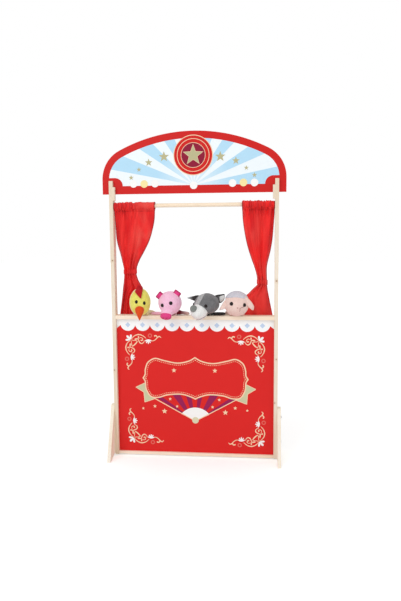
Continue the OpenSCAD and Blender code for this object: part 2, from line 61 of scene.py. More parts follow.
# Camera, fitted to the photograph's edges
CAMERA_AT = Vector((0.2243, -1.9844, 0.7939))
CAMERA_YAW = radians(5.8135)
CAMERA_PITCH = radians(-6.4608)
CAMERA_ROLL = radians(-0.4436)
FOCAL_PX = 570.67
PHOTO_HEIGHT_PX = 601
SENSOR_MM = 36


def make_camera():
    data = bpy.data.cameras.new("camera")
    data.sensor_width = SENSOR_MM
    data.lens = SENSOR_MM * FOCAL_PX / PHOTO_HEIGHT_PX
    camera = new_object("camera", data)
    turn = Matrix.Rotation(CAMERA_YAW, 4, "Z") @ Matrix.Rotation(pi / 2 + CAMERA_PITCH, 4, "X")
    camera.matrix_world = Matrix.Translation(CAMERA_AT) @ turn @ Matrix.Rotation(CAMERA_ROLL, 4, "Z")
    bpy.context.scene.camera = camera


# Materials
MATERIALS = {}


def ink(red, green, blue):
    """A colour seen in the photograph, 0 to 255, as a linear colour."""

    def channel(value):
        value = value / 255
        return value / 12.92 if value <= 0.04045 else ((value + 0.055) / 1.055) ** 2.4

    return (channel(red), channel(green), channel(blue), 1)


class Nodes:
    """Builds the nodes of a material or of the world step by step."""

    def __init__(self, owner):
        owner.use_nodes = True
        self.tree = owner.node_tree

    def put(self, value, socket):
        if isinstance(value, bpy.types.NodeSocket):
            self.tree.links.new(value, socket)
        else:
            socket.default_value = value

    def add(self, kind, inputs=None, **settings):
        node = self.tree.nodes.new(kind)
        for key, value in settings.items():
            setattr(node, key, value)
        for key, value in (inputs or {}).items():
            self.put(value, node.inputs[key])
        return node

    def spread(self, value, low, high, to_low=0.0, to_high=1.0):
        """Maps one span of values to another, level beyond its ends."""
        return self.add("ShaderNodeMapRange", {0: value, 1: low, 2: high, 3: to_low, 4: to_high}).outputs[0]

    def span(self, value, low, high, *to):
        """As spread, with low and high in millimetres."""
        return self.spread(value, low * MM, high * MM, *to)

    def sum(self, a, b, operation="ADD"):
        return self.add("ShaderNodeMath", {0: a, 1: b}, operation=operation).outputs[0]

    def times(self, a, b):
        return self.sum(a, b, "MULTIPLY")

    def vector(self, operation, a, b=(0, 0, 0)):
        return self.add("ShaderNodeVectorMath", {0: a, 1: b}, operation=operation).outputs

    def seen_directly(self):
        """1 where the camera, a mirror or clear glass looks straight at the surface."""
        path = self.add("ShaderNodeLightPath").outputs
        seen = self.sum(path["Is Camera Ray"], path["Is Glossy Ray"], "MAXIMUM")
        return self.sum(seen, path["Is Transmission Ray"], "MAXIMUM")


class Finish(Nodes):
    """One procedural material, kept by its name in MATERIALS."""

    def __init__(self, name, **sockets):
        MATERIALS[name] = bpy.data.materials.new(name)
        super().__init__(MATERIALS[name])
        self.shader = self.tree.nodes["Principled BSDF"].inputs
        for key, value in sockets.items():
            self.shader[key.replace("_", " ")].default_value = value
        self.where = self.add("ShaderNodeTexCoord").outputs
        self.place = self.where["Object"]

    def noise(self, scale, detail=2.0, roughness=0.5, where=None):
        inputs = {"Vector": where or self.place, "Scale": scale, "Detail": detail, "Roughness": roughness}
        return self.add("ShaderNodeTexNoise", inputs).outputs[0]

    def streaks(self, scales, detail=2.0, roughness=0.5):
        """Noise with a scale of its own along each axis."""
        where = self.add("ShaderNodeMapping", {"Vector": self.place, "Scale": scales}).outputs[0]
        return self.noise(1.0, detail, roughness, where)

    def bands(self, scale, direction):
        inputs = {"Vector": self.place, "Scale": scale}
        return self.add("ShaderNodeTexWave", inputs, bands_direction=direction).outputs["Fac"]

    def mix(self, factor, a, b):
        return self.add("ShaderNodeMix", {0: factor, 6: a, 7: b}, data_type="RGBA").outputs[2]

    def mottle(self, a, b, pattern, low, high, share=1.0):
        """Colour a, which goes up to a share of the way to b as the pattern rises from low to high."""
        return self.mix(self.spread(pattern, low, high, 0, share), a, b)

    def axis(self, name, where=None):
        return self.add("ShaderNodeSeparateXYZ", {0: where or self.place}).outputs[name]

    def offset_from(self, point):
        return self.vector("SUBTRACT", self.place, tuple(c * MM for c in point))["Vector"]

    def length(self, offset):
        return self.vector("LENGTH", offset)["Value"]

    def finish(self, colour, height, distance, strength, roughness=None):
        """Links the colour, the bump (its distance in millimetres) and, where given, the roughness."""
        self.put(colour, self.shader["Base Color"])
        inputs = {"Height": height, "Distance": distance * MM, "Strength": strength}
        self.put(self.add("ShaderNodeBump", inputs).outputs[0], self.shader["Normal"])
        if roughness:
            self.put(roughness, self.shader["Roughness"])


BIRCH_PALE = ink(243, 232, 216)
BIRCH_WARM = ink(232, 214, 188)
BIRCH_FIBRE = ink(208, 184, 152)
KNOT_BROWN = ink(150, 112, 78)
PLY_DARK = ink(206, 172, 132)
GRAIN_ALONG = {"X": (3.0, 40.0, 40.0), "Z": (40.0, 40.0, 3.0)}
FIBRE_ALONG = {"X": (22.0, 700.0, 700.0), "Z": (700.0, 700.0, 22.0)}
# Knots of the posts: x, z and radius on their front faces
KNOTS = [(-286.4, 710, 3.5), (-288.7, 317, 3), (286.7, 638, 4), (287.7, 364, 3), (283, 208, 3)]
POST_FRONT_Y = -16


def grain(wood, along, pale, warm, dark, share):
    """Broad tones and fine fibre that run along an axis. Returns the colour and the fibre."""
    tone = wood.streaks(GRAIN_ALONG[along], 3.0)
    fibre = wood.streaks(FIBRE_ALONG[along], 4.0, 0.6)
    colour = wood.mottle(pale, warm, tone, 0.35, 0.7)
    return wood.mottle(colour, dark, fibre, 0.5, 0.8, share), fibre


def birch(name, along, pale=BIRCH_PALE, warm=BIRCH_WARM, knots=()):
    wood = Finish(name, Roughness=0.52, Specular_IOR_Level=0.3)
    colour, fibre = grain(wood, along, pale, warm, BIRCH_FIBRE, 0.55)
    for x, z, radius in knots:
        away = wood.length(wood.offset_from((x, POST_FRONT_Y, z)))
        core = wood.span(away, 0.3 * radius, radius, 0.9, 0.0)
        halo = wood.span(away, radius, 3 * radius, 0.35, 0.0)
        colour = wood.mix(core, wood.mix(halo, colour, BIRCH_FIBRE), KNOT_BROWN)
    wood.finish(colour, fibre, 0.15, 0.5, wood.spread(fibre, 0.2, 0.9, 0.45, 0.62))


def painted_ply(name, red):
    """Paint on the front of a thin plywood board, whose back and edges stay bare."""
    board = Finish(name, Roughness=0.4, Specular_IOR_Level=0.2)
    bare = grain(board, "X", BIRCH_PALE, BIRCH_WARM, PLY_DARK, 0.5)[0]
    front = board.spread(board.axis("Y", board.where["Normal"]), -0.7, -0.5, 1.0, 0.0)
    paint = board.mottle(red, ink(190, 24, 26), board.noise(9.0, 3.0), 0.3, 0.7, 0.12)
    board.finish(board.mix(front, bare, paint), board.noise(900.0), 0.05, 0.35)


def print_ink(name, colour, second=None, glow=None):
    """Flat printed colour with a faint unevenness. glow gives a place, two distances from it in
    millimetres and the paler colour that it has there."""
    layer = Finish(name, Roughness=0.42, Specular_IOR_Level=0.2)
    darker = second or tuple(0.8 * c for c in colour)
    base = layer.mottle(colour, darker, layer.noise(60.0, 3.0), 0.3, 0.75, 0.1)
    if glow:
        middle, near, far, pale = glow
        away = layer.length(layer.offset_from(middle))
        base = layer.mix(layer.span(away, near, far, 1.0, 0.0), base, pale)
    layer.finish(base, layer.noise(900.0), 0.04, 0.3)


def hard_skin(name, scale, detail, light, dark, gloss, distance, strength, **sockets):
    """A smooth skin whose colour and gloss vary a little."""
    skin = Finish(name, **sockets)
    tone = skin.noise(scale, detail)
    skin.finish(skin.mix(tone, light, dark), tone, distance, strength, skin.spread(tone, 0.3, 0.7, *gloss))


WEAVE_PER_M = 420.0
SEAM_Z = 881


def curtain_cloth(name):
    """Thin red cloth: streaks down the folds, painted light and shade, a woven skin."""
    cloth = Finish(name, Roughness=0.62, Specular_IOR_Level=0.25, Sheen_Weight=0.12, Sheen_Roughness=0.4)
    x, z = cloth.axis("X"), cloth.axis("Z")
    streak = cloth.streaks((42.0, 42.0, 5.0), 2.5)
    colour = cloth.mottle(ink(246, 42, 40), ink(216, 20, 26), streak, 0.38, 0.66)
    # Painted light: paler patches where light would shine through the cloth, strongest on the left curtain's
    # inner part.
    thin = cloth.times(cloth.span(x, -225, -195, 0.2, 1.0), cloth.span(x, -60, 0, 1.0, 0.45))
    painted_backlight = cloth.times(cloth.spread(cloth.streaks((17.0, 17.0, 9.0)), 0.42, 0.62, 0, 0.8), thin)
    colour = cloth.mix(painted_backlight, colour, ink(240, 84, 74))
    # Painted shade: darker streaks on the skirt below the band, weaker on the right curtain.
    shade = cloth.spread(cloth.streaks((30.0, 30.0, 3.0)), 0.42, 0.6, 0.05, 0.55)
    shade = cloth.times(cloth.times(shade, cloth.span(z, 600, 670, 1, 0)), cloth.span(x, 0, 60, 1.0, 0.3))
    colour = cloth.mix(shade, colour, ink(182, 16, 26))
    # Painted shade of the gathers: dark pleat lines under the heading, mostly on the left curtain's outer
    # part and on the right curtain.
    pleat_shade = cloth.spread(cloth.streaks((170.0, 170.0, 9.0), 1.0), 0.5, 0.62, 0, 0.6)
    pleat_shade = cloth.times(pleat_shade, cloth.span(z, 848, 876))
    outer = cloth.sum(cloth.span(x, -205, -190, 1.0, 0.25), cloth.span(x, 0, 60), "MAXIMUM")
    colour = cloth.mix(cloth.times(pleat_shade, outer), colour, ink(170, 12, 22))
    seam = cloth.sum(cloth.sum(z, SEAM_Z * MM, "SUBTRACT"), 0.0, "ABSOLUTE")
    seam = cloth.times(cloth.span(seam, 0.4, 2.0, 1.0, 0.0), cloth.spread(streak, 0.35, 0.6, 0.1, 0.5))
    colour = cloth.mix(seam, colour, ink(150, 14, 20))
    weave = cloth.sum(cloth.bands(WEAVE_PER_M, "X"), cloth.bands(WEAVE_PER_M, "Z"))
    crease = cloth.times(cloth.streaks((120.0, 120.0, 25.0), 3.0), 6.0)
    cloth.finish(colour, cloth.sum(weave, crease), 0.12, 0.55)


def plush(name, sheen):
    return Finish(name, Roughness=0.9, Specular_IOR_Level=0.3, Sheen_Weight=sheen, Sheen_Roughness=0.5)


def felt(name, colour, shade, pile=900.0, depth=0.5, sheen=0.35, broad=55.0, shares=(0.5, 0.7, 0.45),
         stripe=None, rim=None):
    """Brushed felt or short plush: a mottled colour, a fibrous pile and a soft sheen.

    shares says how far the broad, tufted and fine mottling go towards the shade. stripe lays a
    second colour over it, below the tufts; rim lays a painted rim highlight over it, above the tufts.
    """
    cloth = plush(name, sheen)
    fine = cloth.noise(pile, 3.0, 0.65)
    shade = ink(*shade)
    tint = cloth.mottle(ink(*colour), shade, cloth.noise(broad, 3.0), 0.35, 0.7, shares[0])
    if stripe:
        tint = stripe(cloth, tint)
    tint = cloth.mottle(tint, shade, cloth.noise(240.0), 0.45, 0.7, shares[1])
    if rim:
        tint = rim(cloth, tint)
    tint = cloth.mottle(tint, shade, fine, 0.45, 0.75, shares[2])
    cloth.finish(tint, fine, depth, 0.8)


def shaded_felt(name, first, second, start, end):
    """Felt that goes from one colour to another between two places across the theatre."""
    cloth = plush(name, 0.3)
    tint = cloth.mix(cloth.span(cloth.axis("X"), start, end), ink(*first), ink(*second))
    fine = cloth.noise(900.0, 3.0, 0.65)
    cloth.finish(cloth.mottle(tint, ink(60, 40, 44), fine, 0.4, 0.75, 0.3), fine, 0.5, 0.8)


STRIPE_AT = (24, -55, 579.5)
STRIPE_ACROSS = (0.886, 0, -0.465)
STRIPE_HALF = 7
# Painted rim highlight of the chick's head: middle and half sizes of its outline, seen from the front
RIM_HIGHLIGHT_AT = (-187, -17, 564.3)
RIM_HIGHLIGHT_HALF_W = 38
RIM_HIGHLIGHT_HALF_H = 50


def dog_stripe(cloth, tint):
    """A pale stripe sewn on between two planes."""
    off = cloth.vector("DOT_PRODUCT", cloth.offset_from(STRIPE_AT), STRIPE_ACROSS)["Value"]
    off = cloth.sum(off, 0.0, "ABSOLUTE")
    return cloth.mix(cloth.span(off, STRIPE_HALF, STRIPE_HALF + 0.8, 1.0, 0.0), tint, ink(190, 190, 190))


def chick_rim_highlight(cloth, tint):
    """Painted rim highlight: paler towards the head's outline, as seen from the front."""
    squeeze = (1 / (RIM_HIGHLIGHT_HALF_W * MM), 0, 1 / (RIM_HIGHLIGHT_HALF_H * MM))
    away = cloth.length(cloth.vector("MULTIPLY", cloth.offset_from(RIM_HIGHLIGHT_AT), squeeze)["Vector"])
    return cloth.mottle(tint, ink(250, 236, 186), away, 0.9, 0.96, 0.85)


SUNBURST = (2.0, 968.0)
HEADER_FRONT = -3.0
PANEL_FRONT = -2.0
HEADER_RED = ink(208, 30, 26)
PANEL_RED = ink(222, 34, 31)
PRINTS = {
    "red": [HEADER_RED],
    "panel_red": [PANEL_RED],
    "pale": [ink(242, 250, 254), ink(232, 242, 248)],
    "blue": [ink(184, 224, 247), ink(176, 218, 244),
             ((SUNBURST[0], HEADER_FRONT, SUNBURST[1]), 15, 130, ink(224, 242, 251))],
    "gold": [ink(190, 184, 142)],
    "cream": [ink(250, 214, 178)],
    "rose": [ink(228, 108, 96)],
    "hub": [ink(222, 218, 184)],
    "white": [ink(250, 250, 248), ink(240, 240, 238)],
    "yellow": [ink(250, 232, 168)],
    "burgundy": [ink(142, 16, 52)],
    "purple": [ink(150, 24, 84)],
    "khaki": [ink(206, 206, 166)],
    "valance": [ink(252, 254, 255), ink(240, 250, 254)],
    "diamond": [ink(196, 216, 242)],
}
# What each piece of wood, paint or steel is finished with
FINISHES = {
    "birch_upright": ["left_post", "right_post", "left_header_block", "right_header_block"],
    "birch_foot": ["left_foot", "right_foot"],
    "birch_level": ["stage_shelf", "bottom_rail", "curtain_rod", "rail_dowels"],
    "zinc": ["foot_bolts", "foot_nuts", "shelf_screws", "block_screws"],
    "header_paint": ["header_board"],
    "panel_paint": ["front_panel"],
}


def make_materials():
    birch("birch_upright", "Z", knots=KNOTS)
    birch("birch_foot", "Z", ink(252, 244, 230), ink(248, 236, 214))
    birch("birch_level", "X", ink(255, 242, 224), ink(250, 228, 200))
    painted_ply("header_paint", HEADER_RED)
    painted_ply("panel_paint", PANEL_RED)
    for name, looks in PRINTS.items():
        print_ink(f"print_{name}", *looks)
    hard_skin("zinc", 400.0, 3.0, ink(196, 194, 190), ink(158, 157, 156), (0.28, 0.45), 0.05, 0.3,
              Metallic=1.0, Roughness=0.35)
    hard_skin("bead_black", 300.0, 2.0, ink(14, 5, 4), ink(26, 12, 10), (0.08, 0.2), 0.02, 0.2,
              Roughness=0.12, Specular_IOR_Level=0.2)
    curtain_cloth("curtain")
    # Darker doubled hem of the curtains' edges, partly painted edge shade.
    felt("curtain_hem", (196, 24, 32), (160, 14, 24), 700.0, 0.2, 0.1)
    # The chick's plush takes a painted rim highlight.
    felt("chick_plush", (242, 236, 116), (222, 214, 90), 1000.0, 0.5, 0.3, 70.0, (0.7, 0.7, 0.4),
         rim=chick_rim_highlight)
    felt("chick_cloth", (248, 234, 188), (230, 212, 150))
    felt("comb_red", (194, 14, 26), (154, 8, 18), sheen=0.12)
    felt("beak_orange", (230, 84, 14), (206, 62, 8), sheen=0.15)
    felt("pig_plush", (252, 206, 228), (244, 180, 212))
    felt("pig_trim", (236, 72, 142), (206, 46, 112), sheen=0.2)
    felt("pig_edge", (196, 36, 104), (160, 22, 80))
    # Painted shadow: the pig's right arm is dark where it lies under the head, paling towards its tip.
    shaded_felt("pig_shaded", (116, 6, 26), (238, 200, 196), -50, -24)
    felt("dog_plush", (122, 122, 124), (92, 92, 94), 1000.0, 0.5, 0.3, 55.0, (0.6, 0.6, 0.4),
         stripe=dog_stripe)
    felt("dog_grey", (118, 118, 120), (88, 88, 90))
    felt("dog_dark", (62, 60, 60), (34, 32, 32))
    shaded_felt("dog_ear", (176, 178, 180), (52, 50, 50), -16, -2)
    felt("dog_seam", (96, 96, 98), (70, 70, 72))
    felt("dog_white", (246, 246, 244), (220, 220, 218), 500.0)
    felt("dog_nose", (140, 146, 142), (108, 112, 108))
    felt("lamb_face", (246, 218, 208), (232, 198, 188))
    shaded_felt("lamb_edge", (252, 244, 244), (250, 214, 196), 120, 180)
    felt("lamb_wool", (218, 216, 224), (190, 188, 200), 420.0, 1.0)
    felt("lamb_thread", (176, 100, 96), (140, 70, 66))


def finish_wood_and_steel():
    for material, names in FINISHES.items():
        for name in names:
            piece = nodes[name]
            if not piece.material_slots:
                piece.data.materials.append(None)
            for place in piece.material_slots:
                place.material = MATERIALS[material]


# Meshes


def add_mesh(name, points, faces, material, smooth=True):
    """A new object from points in millimetres."""
    mesh = bpy.data.meshes.new(name)
    mesh.from_pydata([Vector(p) * MM for p in points], [], faces)
    work = bmesh.new()
    work.from_mesh(mesh)
    bmesh.ops.recalc_face_normals(work, faces=work.faces)
    work.to_mesh(mesh)
    work.free()
    mesh.polygons.foreach_set("use_smooth", [smooth] * len(mesh.polygons))
    mesh.materials.append(MATERIALS[material])
    return new_object(name, mesh)


def thicken(piece, thickness, offset=0):
    solid = piece.modifiers.new("thickness", "SOLIDIFY")
    solid.thickness = thickness * MM
    solid.offset = offset


def grid_faces(rows, columns, closed=False):
    faces = []
    for low in range(0, (rows - 1) * columns, columns):
        high = low + columns
        for c in range(columns if closed else columns - 1):
            after = (c + 1) % columns
            faces.append((low + c, low + after, high + after, high + c))
    return faces


def two_layers(rows, columns, closed=False):
    """Faces of a grid and of a second one behind it, which faces the other way."""
    front = grid_faces(rows, columns, closed)
    return front + [tuple(i + rows * columns for i in f[::-1]) for f in front]


def sides_of(line):
    """Each member of a closed line with the next one."""
    line = list(line)
    return list(zip(line, line[1:] + line[:1]))


def rim_faces(rim, half):
    """Joins the edges of two layers all round. half is the number of points of one layer."""
    return [(a, b, b + half, a + half) for a, b in sides_of(rim)]


def fan_faces(tip, first, count):
    """Triangles from a tip to a closed ring of points."""
    return [(tip, a, b) for a, b in sides_of(range(first, first + count))]


def wobble(*place):
    return noise.noise(Vector(place))


def fractions(count):
    """From 0 to 1 in equal steps."""
    return [k / count for k in range(count + 1)]


def angles(count):
    """Once round in equal steps."""
    return [2 * pi * k / count for k in range(count)]


def middle_of(points):
    return sum((Vector(p) for p in points[1:]), Vector(points[0])) / len(points)


def lookup(value, table):
    """Straight-line steps between the pairs of a table, level beyond its ends."""
    if value <= table[0][0]:
        return table[0][1]
    for (x0, y0), (x1, y1) in zip(table, table[1:]):
        if value <= x1:
            return y0 + (y1 - y0) * (value - x0) / (x1 - x0)
    return table[-1][1]


def eased(value, table):
    """As lookup, with rounded corners."""
    span = (table[-1][0] - table[0][0]) * 0.03
    return sum(lookup(value + span * k, table) for k in (-2, -1, 0, 1, 2)) / 5


def neighbours(line, i):
    """The points before and after one of an open line, or itself at its ends."""
    return line[max(i - 1, 0)], line[min(i + 1, len(line) - 1)]


def curve_through(points, steps, closed=False):
    """Smooth line through a few points."""
    points = [Vector(p) for p in points]
    count = len(points)
    line = []
    for i in range(count if closed else count - 1):
        if closed:
            a, b, c, d = (points[(i + k) % count] for k in (-1, 0, 1, 2))
        else:
            b, c = points[i], points[i + 1]
            a = points[i - 1] if i else 2 * b - c
            d = points[i + 2] if i + 2 < count else 2 * c - b
        square = 2 * a - 5 * b + 4 * c - d
        cube = 3 * b - a - 3 * c + d
        for k in range(steps):
            t = k / steps
            line.append(0.5 * (2 * b + (c - a) * t + square * t * t + cube * t ** 3))
    return line if closed else line + [points[-1]]


def polar(turn, radius=1.0, cx=0.0, cz=0.0):
    """Point round a centre, in degrees from straight right."""
    return (cx + radius * cos(radians(turn)), cz + radius * sin(radians(turn)))


def arc(cx, cz, radius, start, end, steps):
    return [polar(start + (end - start) * k / steps, radius, cx, cz) for k in range(steps + 1)]


def disc(cx, cz, radius, steps=48):
    return arc(cx, cz, radius, 0, 360, steps)[:-1]


def ring(cx, cz, outer, inner, steps=64):
    return [disc(cx, cz, outer, steps), disc(cx, cz, inner, steps)]


def star(cx, cz, outer, inner_share=0.42):
    return [polar(90 + 36 * k, outer if k % 2 == 0 else outer * inner_share, cx, cz) for k in range(10)]


def square_to(ahead):
    """Left of a flat direction."""
    return Vector((-ahead[1], ahead[0]))


def stroke(line, widths):
    """Outline of a line of changing width. widths gives shares of the way and the width there."""
    line = [Vector(p) for p in line]
    left, right = [], []
    for i, point in enumerate(line):
        before, after = neighbours(line, i)
        aside = lookup(i / (len(line) - 1), widths) / 2 * square_to((after - before).normalized())
        left.append(point + aside)
        right.append(point - aside)
    return left + right[::-1]


def mirrored(line, about=0.0):
    return [(2 * about - p[0], p[1]) for p in line]


# Printed artwork
PLATE_T = 0.08
LEVEL_STEP = 0.1
LIFT_STEP = 0.007
LIFT_RANGE = 0.05
WELD = 1e-4


class Artwork:
    """Printed layers of a board. Each is one object of closed thin plates, one above the other."""

    def __init__(self, board_y, slot):
        self.board_y = board_y
        self.slot = slot
        self.lift = 0.0

    def plate(self, shape):
        """One plate lying flat, from an outline with the holes after it."""
        curve = bpy.data.curves.new("outline", "CURVE")
        curve.dimensions = "2D"
        curve.fill_mode = "BOTH"
        curve.extrude = PLATE_T / 2
        for outline in shape:
            spline = curve.splines.new("POLY")
            spline.points.add(len(outline) - 1)
            for place, point in zip(spline.points, outline):
                place.co = (point[0], point[1], 0, 1)
            spline.use_cyclic_u = True
        holder = new_object("outline", curve)
        mesh = bpy.data.meshes.new_from_object(holder.evaluated_get(bpy.context.evaluated_depsgraph_get()))
        work = bmesh.new()
        work.from_mesh(mesh)
        bmesh.ops.remove_doubles(work, verts=work.verts, dist=WELD)
        work.verts.index_update()
        bpy.data.objects.remove(holder)
        bpy.data.curves.remove(curve)
        bpy.data.meshes.remove(mesh)
        return work

    def add(self, name, shapes, colour, level):
        """One layer. A shape is an outline, or a list of an outline and the holes in it."""
        points, faces = [], []
        for shape in shapes:
            self.lift = (self.lift + LIFT_STEP) % LIFT_RANGE
            front = self.board_y - level * LEVEL_STEP - self.lift
            first = len(points)
            work = self.plate(shape if isinstance(shape[0][0], (list, tuple, Vector)) else [shape])
            points += [(v.co.x, front - v.co.z, v.co.y) for v in work.verts]
            faces += [tuple(first + v.index for v in f.verts) for f in work.faces]
            work.free()
        piece = add_mesh(name, points, faces, f"print_{colour}", smooth=False)
        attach(piece, "theatre")


# Header board artwork
ARCH_CENTRE_Z = 582.4
ARCH_R = 567.6
SHOULDER_AT = (208.0, 990.0)
SHOULDER_R = 110.0
BORDER_W = 24.0
HEADER_HALF = 318.0
EAR_AT = (274.0, 968.0)
EAR_R = 28.0
EAR_CORNERS = [(296, 996), (296, 966), (246, 966)]
RAYS = 16
MEDALLION = (1.0, 1068.5)
HEADER_STARS = [
    (-100, 1065, 18.5), (-153.5, 1046.5, 13.5), (-188, 1023, 8.5), (-216, 996, 9),
    (94, 1062, 18.5), (147, 1047, 13.5), (182.5, 1022.5, 8.5), (210, 998, 9),
]
WHITE_BULBS = [(-208, 975), (-132.7, 975), (2, 967), (135.6, 972.5), (210, 973)]
YELLOW_BULBS = [(-170.6, 974), (172.7, 973.6)]
BULB_R = 13.0


def window_outline():
    """The pale window of the header board: its outline drawn in by the border."""
    shoulder = SHOULDER_R - BORDER_W
    reach = degrees(atan2(SHOULDER_AT[1] - ARCH_CENTRE_Z, SHOULDER_AT[0]))
    right = arc(SHOULDER_AT[0], SHOULDER_AT[1], shoulder, 0, reach, 16)
    top = arc(0, ARCH_CENTRE_Z, ARCH_R - BORDER_W, reach, 180 - reach, 48)
    left = arc(-SHOULDER_AT[0], SHOULDER_AT[1], shoulder, 180 - reach, 180, 16)
    inner = HEADER_HALF - BORDER_W
    return [(inner, SUNBURST[1])] + right + top + left + [(-inner, SUNBURST[1])]


def crossed(a, b):
    return a[0] * b[1] - a[1] * b[0]


def ray(outline, start, end):
    """Wedge of the window between two directions from the sunburst's centre, in degrees."""

    def direction(point):
        return degrees(atan2(point[1] - SUNBURST[1], point[0] - SUNBURST[0]))

    def edge(angle):
        for a, b in zip(outline, outline[1:]):
            if direction(a) <= angle <= direction(b):
                aim = Vector(polar(angle))
                side = Vector(b) - Vector(a)
                reach = crossed(Vector(a) - Vector(SUNBURST), side) / crossed(aim, side)
                return tuple(Vector(SUNBURST) + reach * aim)
        return outline[-1]

    between = [p for p in outline if start < direction(p) < end]
    return [SUNBURST, edge(start)] + between + [edge(end)]


def header_artwork():
    art = Artwork(HEADER_FRONT, "header_paint")
    window = window_outline()
    art.add("header_window", [window], "pale", 1)
    step = 180 / RAYS
    art.add("header_rays", [ray(window, step * k, step * (k + 1)) for k in range(0, RAYS, 2)], "blue", 2)
    ear = arc(EAR_AT[0], EAR_AT[1], EAR_R, 180, 90, 16) + EAR_CORNERS
    art.add("header_ears", [ear, mirrored(ear)], "red", 3)
    art.add("header_stars", [star(x, z, r) for x, z, r in HEADER_STARS], "gold", 4)
    cx, cz = MEDALLION
    art.add("medallion_edge", [ring(cx, cz, 68, 65.5)], "cream", 4)
    art.add("medallion_field", [disc(cx, cz, 65.8, 72)], "red", 3)
    art.add("medallion_rings", [ring(cx, cz, 56, 54), ring(cx, cz, 42.5, 40.5)], "cream", 4)
    art.add("medallion_middle", [disc(cx, cz, 40.8, 64)], "burgundy", 4)
    art.add("medallion_star_edge", [star(cx, cz, 37)], "cream", 5)
    art.add("medallion_star", [star(cx, cz, 34)], "gold", 6)
    art.add("bulbs_white", [disc(x, z, BULB_R) for x, z in WHITE_BULBS], "white", 4)
    art.add("bulbs_yellow", [disc(x, z, BULB_R) for x, z in YELLOW_BULBS], "yellow", 4)


# Front panel artwork
SCALLOPS = 10
SCALLOP_PITCH = 53.2
FIRST_CUSP_X = -266.0
CUSP_Z = 479.0
LOBE_Z = 458.0
VALANCE_SIDE_Z = 468.0
PANEL_TOP = 501.8
PANEL_EDGE = 279.6
DIAMOND = 9.5
DIAMOND_Z = 480.0
CARTOUCHE_X = 1.0
CARTOUCHE_TOP = [(1, 366), (-24, 352), (-64, 345), (-112, 354), (-144, 361), (-171, 345), (-181, 319),
                 (-182, 301), (-190, 287)]
CARTOUCHE_BOTTOM = [(-190, 287), (-182, 273), (-179, 245), (-161, 217), (-131, 214), (-98, 224), (-49, 227),
                    (-16, 218), (1, 210)]
CARTOUCHE_EDGE_W = 4.5
# Distance from the cartouche's edge, length, gap and width
DASHES = (9.6, 3.8, 3.2, 2.5)
DASH_STEP = 0.8
PENNANT = [(-215, 252), (-180, 269), (-170, 226), (-145, 211), (-183, 197), (-186, 234)]
PENNANT_EDGE_W = 2.2
FAN_APEX = (1.0, 131.0)
FAN_ENDS = [(-147.0, 212.0), (149.0, 213.0)]
FAN_EDGE_W = 3.2
# Purple folds of the fan: start and end, in degrees from straight right
FAN_FOLDS = [(53, 64.5), (76.5, 85.4), (97.4, 107.5), (116, 127)]
FAN_SIDES = [(29.5, 34.6), (144.3, 149.5)]
FAN_REACH = 175.0
FOLD_FROM = 50.0
FOLD_TO = 140.0
SECTOR_R = 64.3
SECTOR_Z = 116.7
SECTOR_SPAN = (38, 142)
HUB_R = 12.0
HUB_RISE = 3
PANEL_STARS = [
    (-189, 174, 5.5), (-146, 183, 7), (-111, 165, 10.5), (109, 165, 10.5), (144, 182, 7), (187, 174, 5.5),
    (-75, 316, 9), (72, 317, 9), (-90, 211, 6), (-65, 184, 6), (87, 211, 6), (63, 184, 6),
]


def lobe_middles():
    return [FIRST_CUSP_X + SCALLOP_PITCH * (k + 0.5) for k in range(SCALLOPS)]


def valance_outline():
    """Straight top edge, and below it round lobes that meet in cusps."""
    rise = CUSP_Z - LOBE_Z
    half = SCALLOP_PITCH / 2
    radius = (half * half + rise * rise) / (2 * rise)
    swing = degrees(asin(half / radius))
    line = [(-PANEL_EDGE, PANEL_TOP), (PANEL_EDGE, PANEL_TOP), (PANEL_EDGE, VALANCE_SIDE_Z)]
    for middle in lobe_middles()[::-1]:
        line += arc(middle, LOBE_Z + radius, radius, -90 + swing, -90 - swing, 14)
    return line + [(-PANEL_EDGE, VALANCE_SIDE_Z)]


def cartouche_outline(inset=0.0):
    left = curve_through(CARTOUCHE_TOP, 5)[:-1] + curve_through(CARTOUCHE_BOTTOM, 5)
    right = [Vector(p) for p in mirrored(left, CARTOUCHE_X)][::-1]
    line = left + right[1:-1]
    ways = [(line[(i + 1) % len(line)] - line[i - 1]).normalized() for i in range(len(line))]
    return [point + inset * square_to(way) for point, way in zip(line, ways)]


def dashes(line, dash, gap, width):
    """Short strokes along a closed line."""
    shapes = []
    travelled = 0.0
    current = []
    for a, b in sides_of(line):
        side = b - a
        steps = max(1, int(side.length / DASH_STEP))
        for k in range(steps):
            if travelled % (dash + gap) < dash:
                current.append(a + side * (k / steps))
            else:
                if len(current) > 1:
                    shapes.append(stroke(current, [(0, width)]))
                current = []
            travelled += side.length / steps
    return shapes


def petal(cx, cz, length, width, angle):
    """A teardrop petal that starts at a point and opens outwards."""
    aim = Vector(polar(angle))
    line = []
    for t in angles(16):
        along = length * (0.5 - 0.5 * cos(t))
        across = width / 2 * sin(t) * (0.45 + 0.55 * along / length)
        line.append(Vector((cx, cz)) + along * aim + across * square_to(aim))
    return line


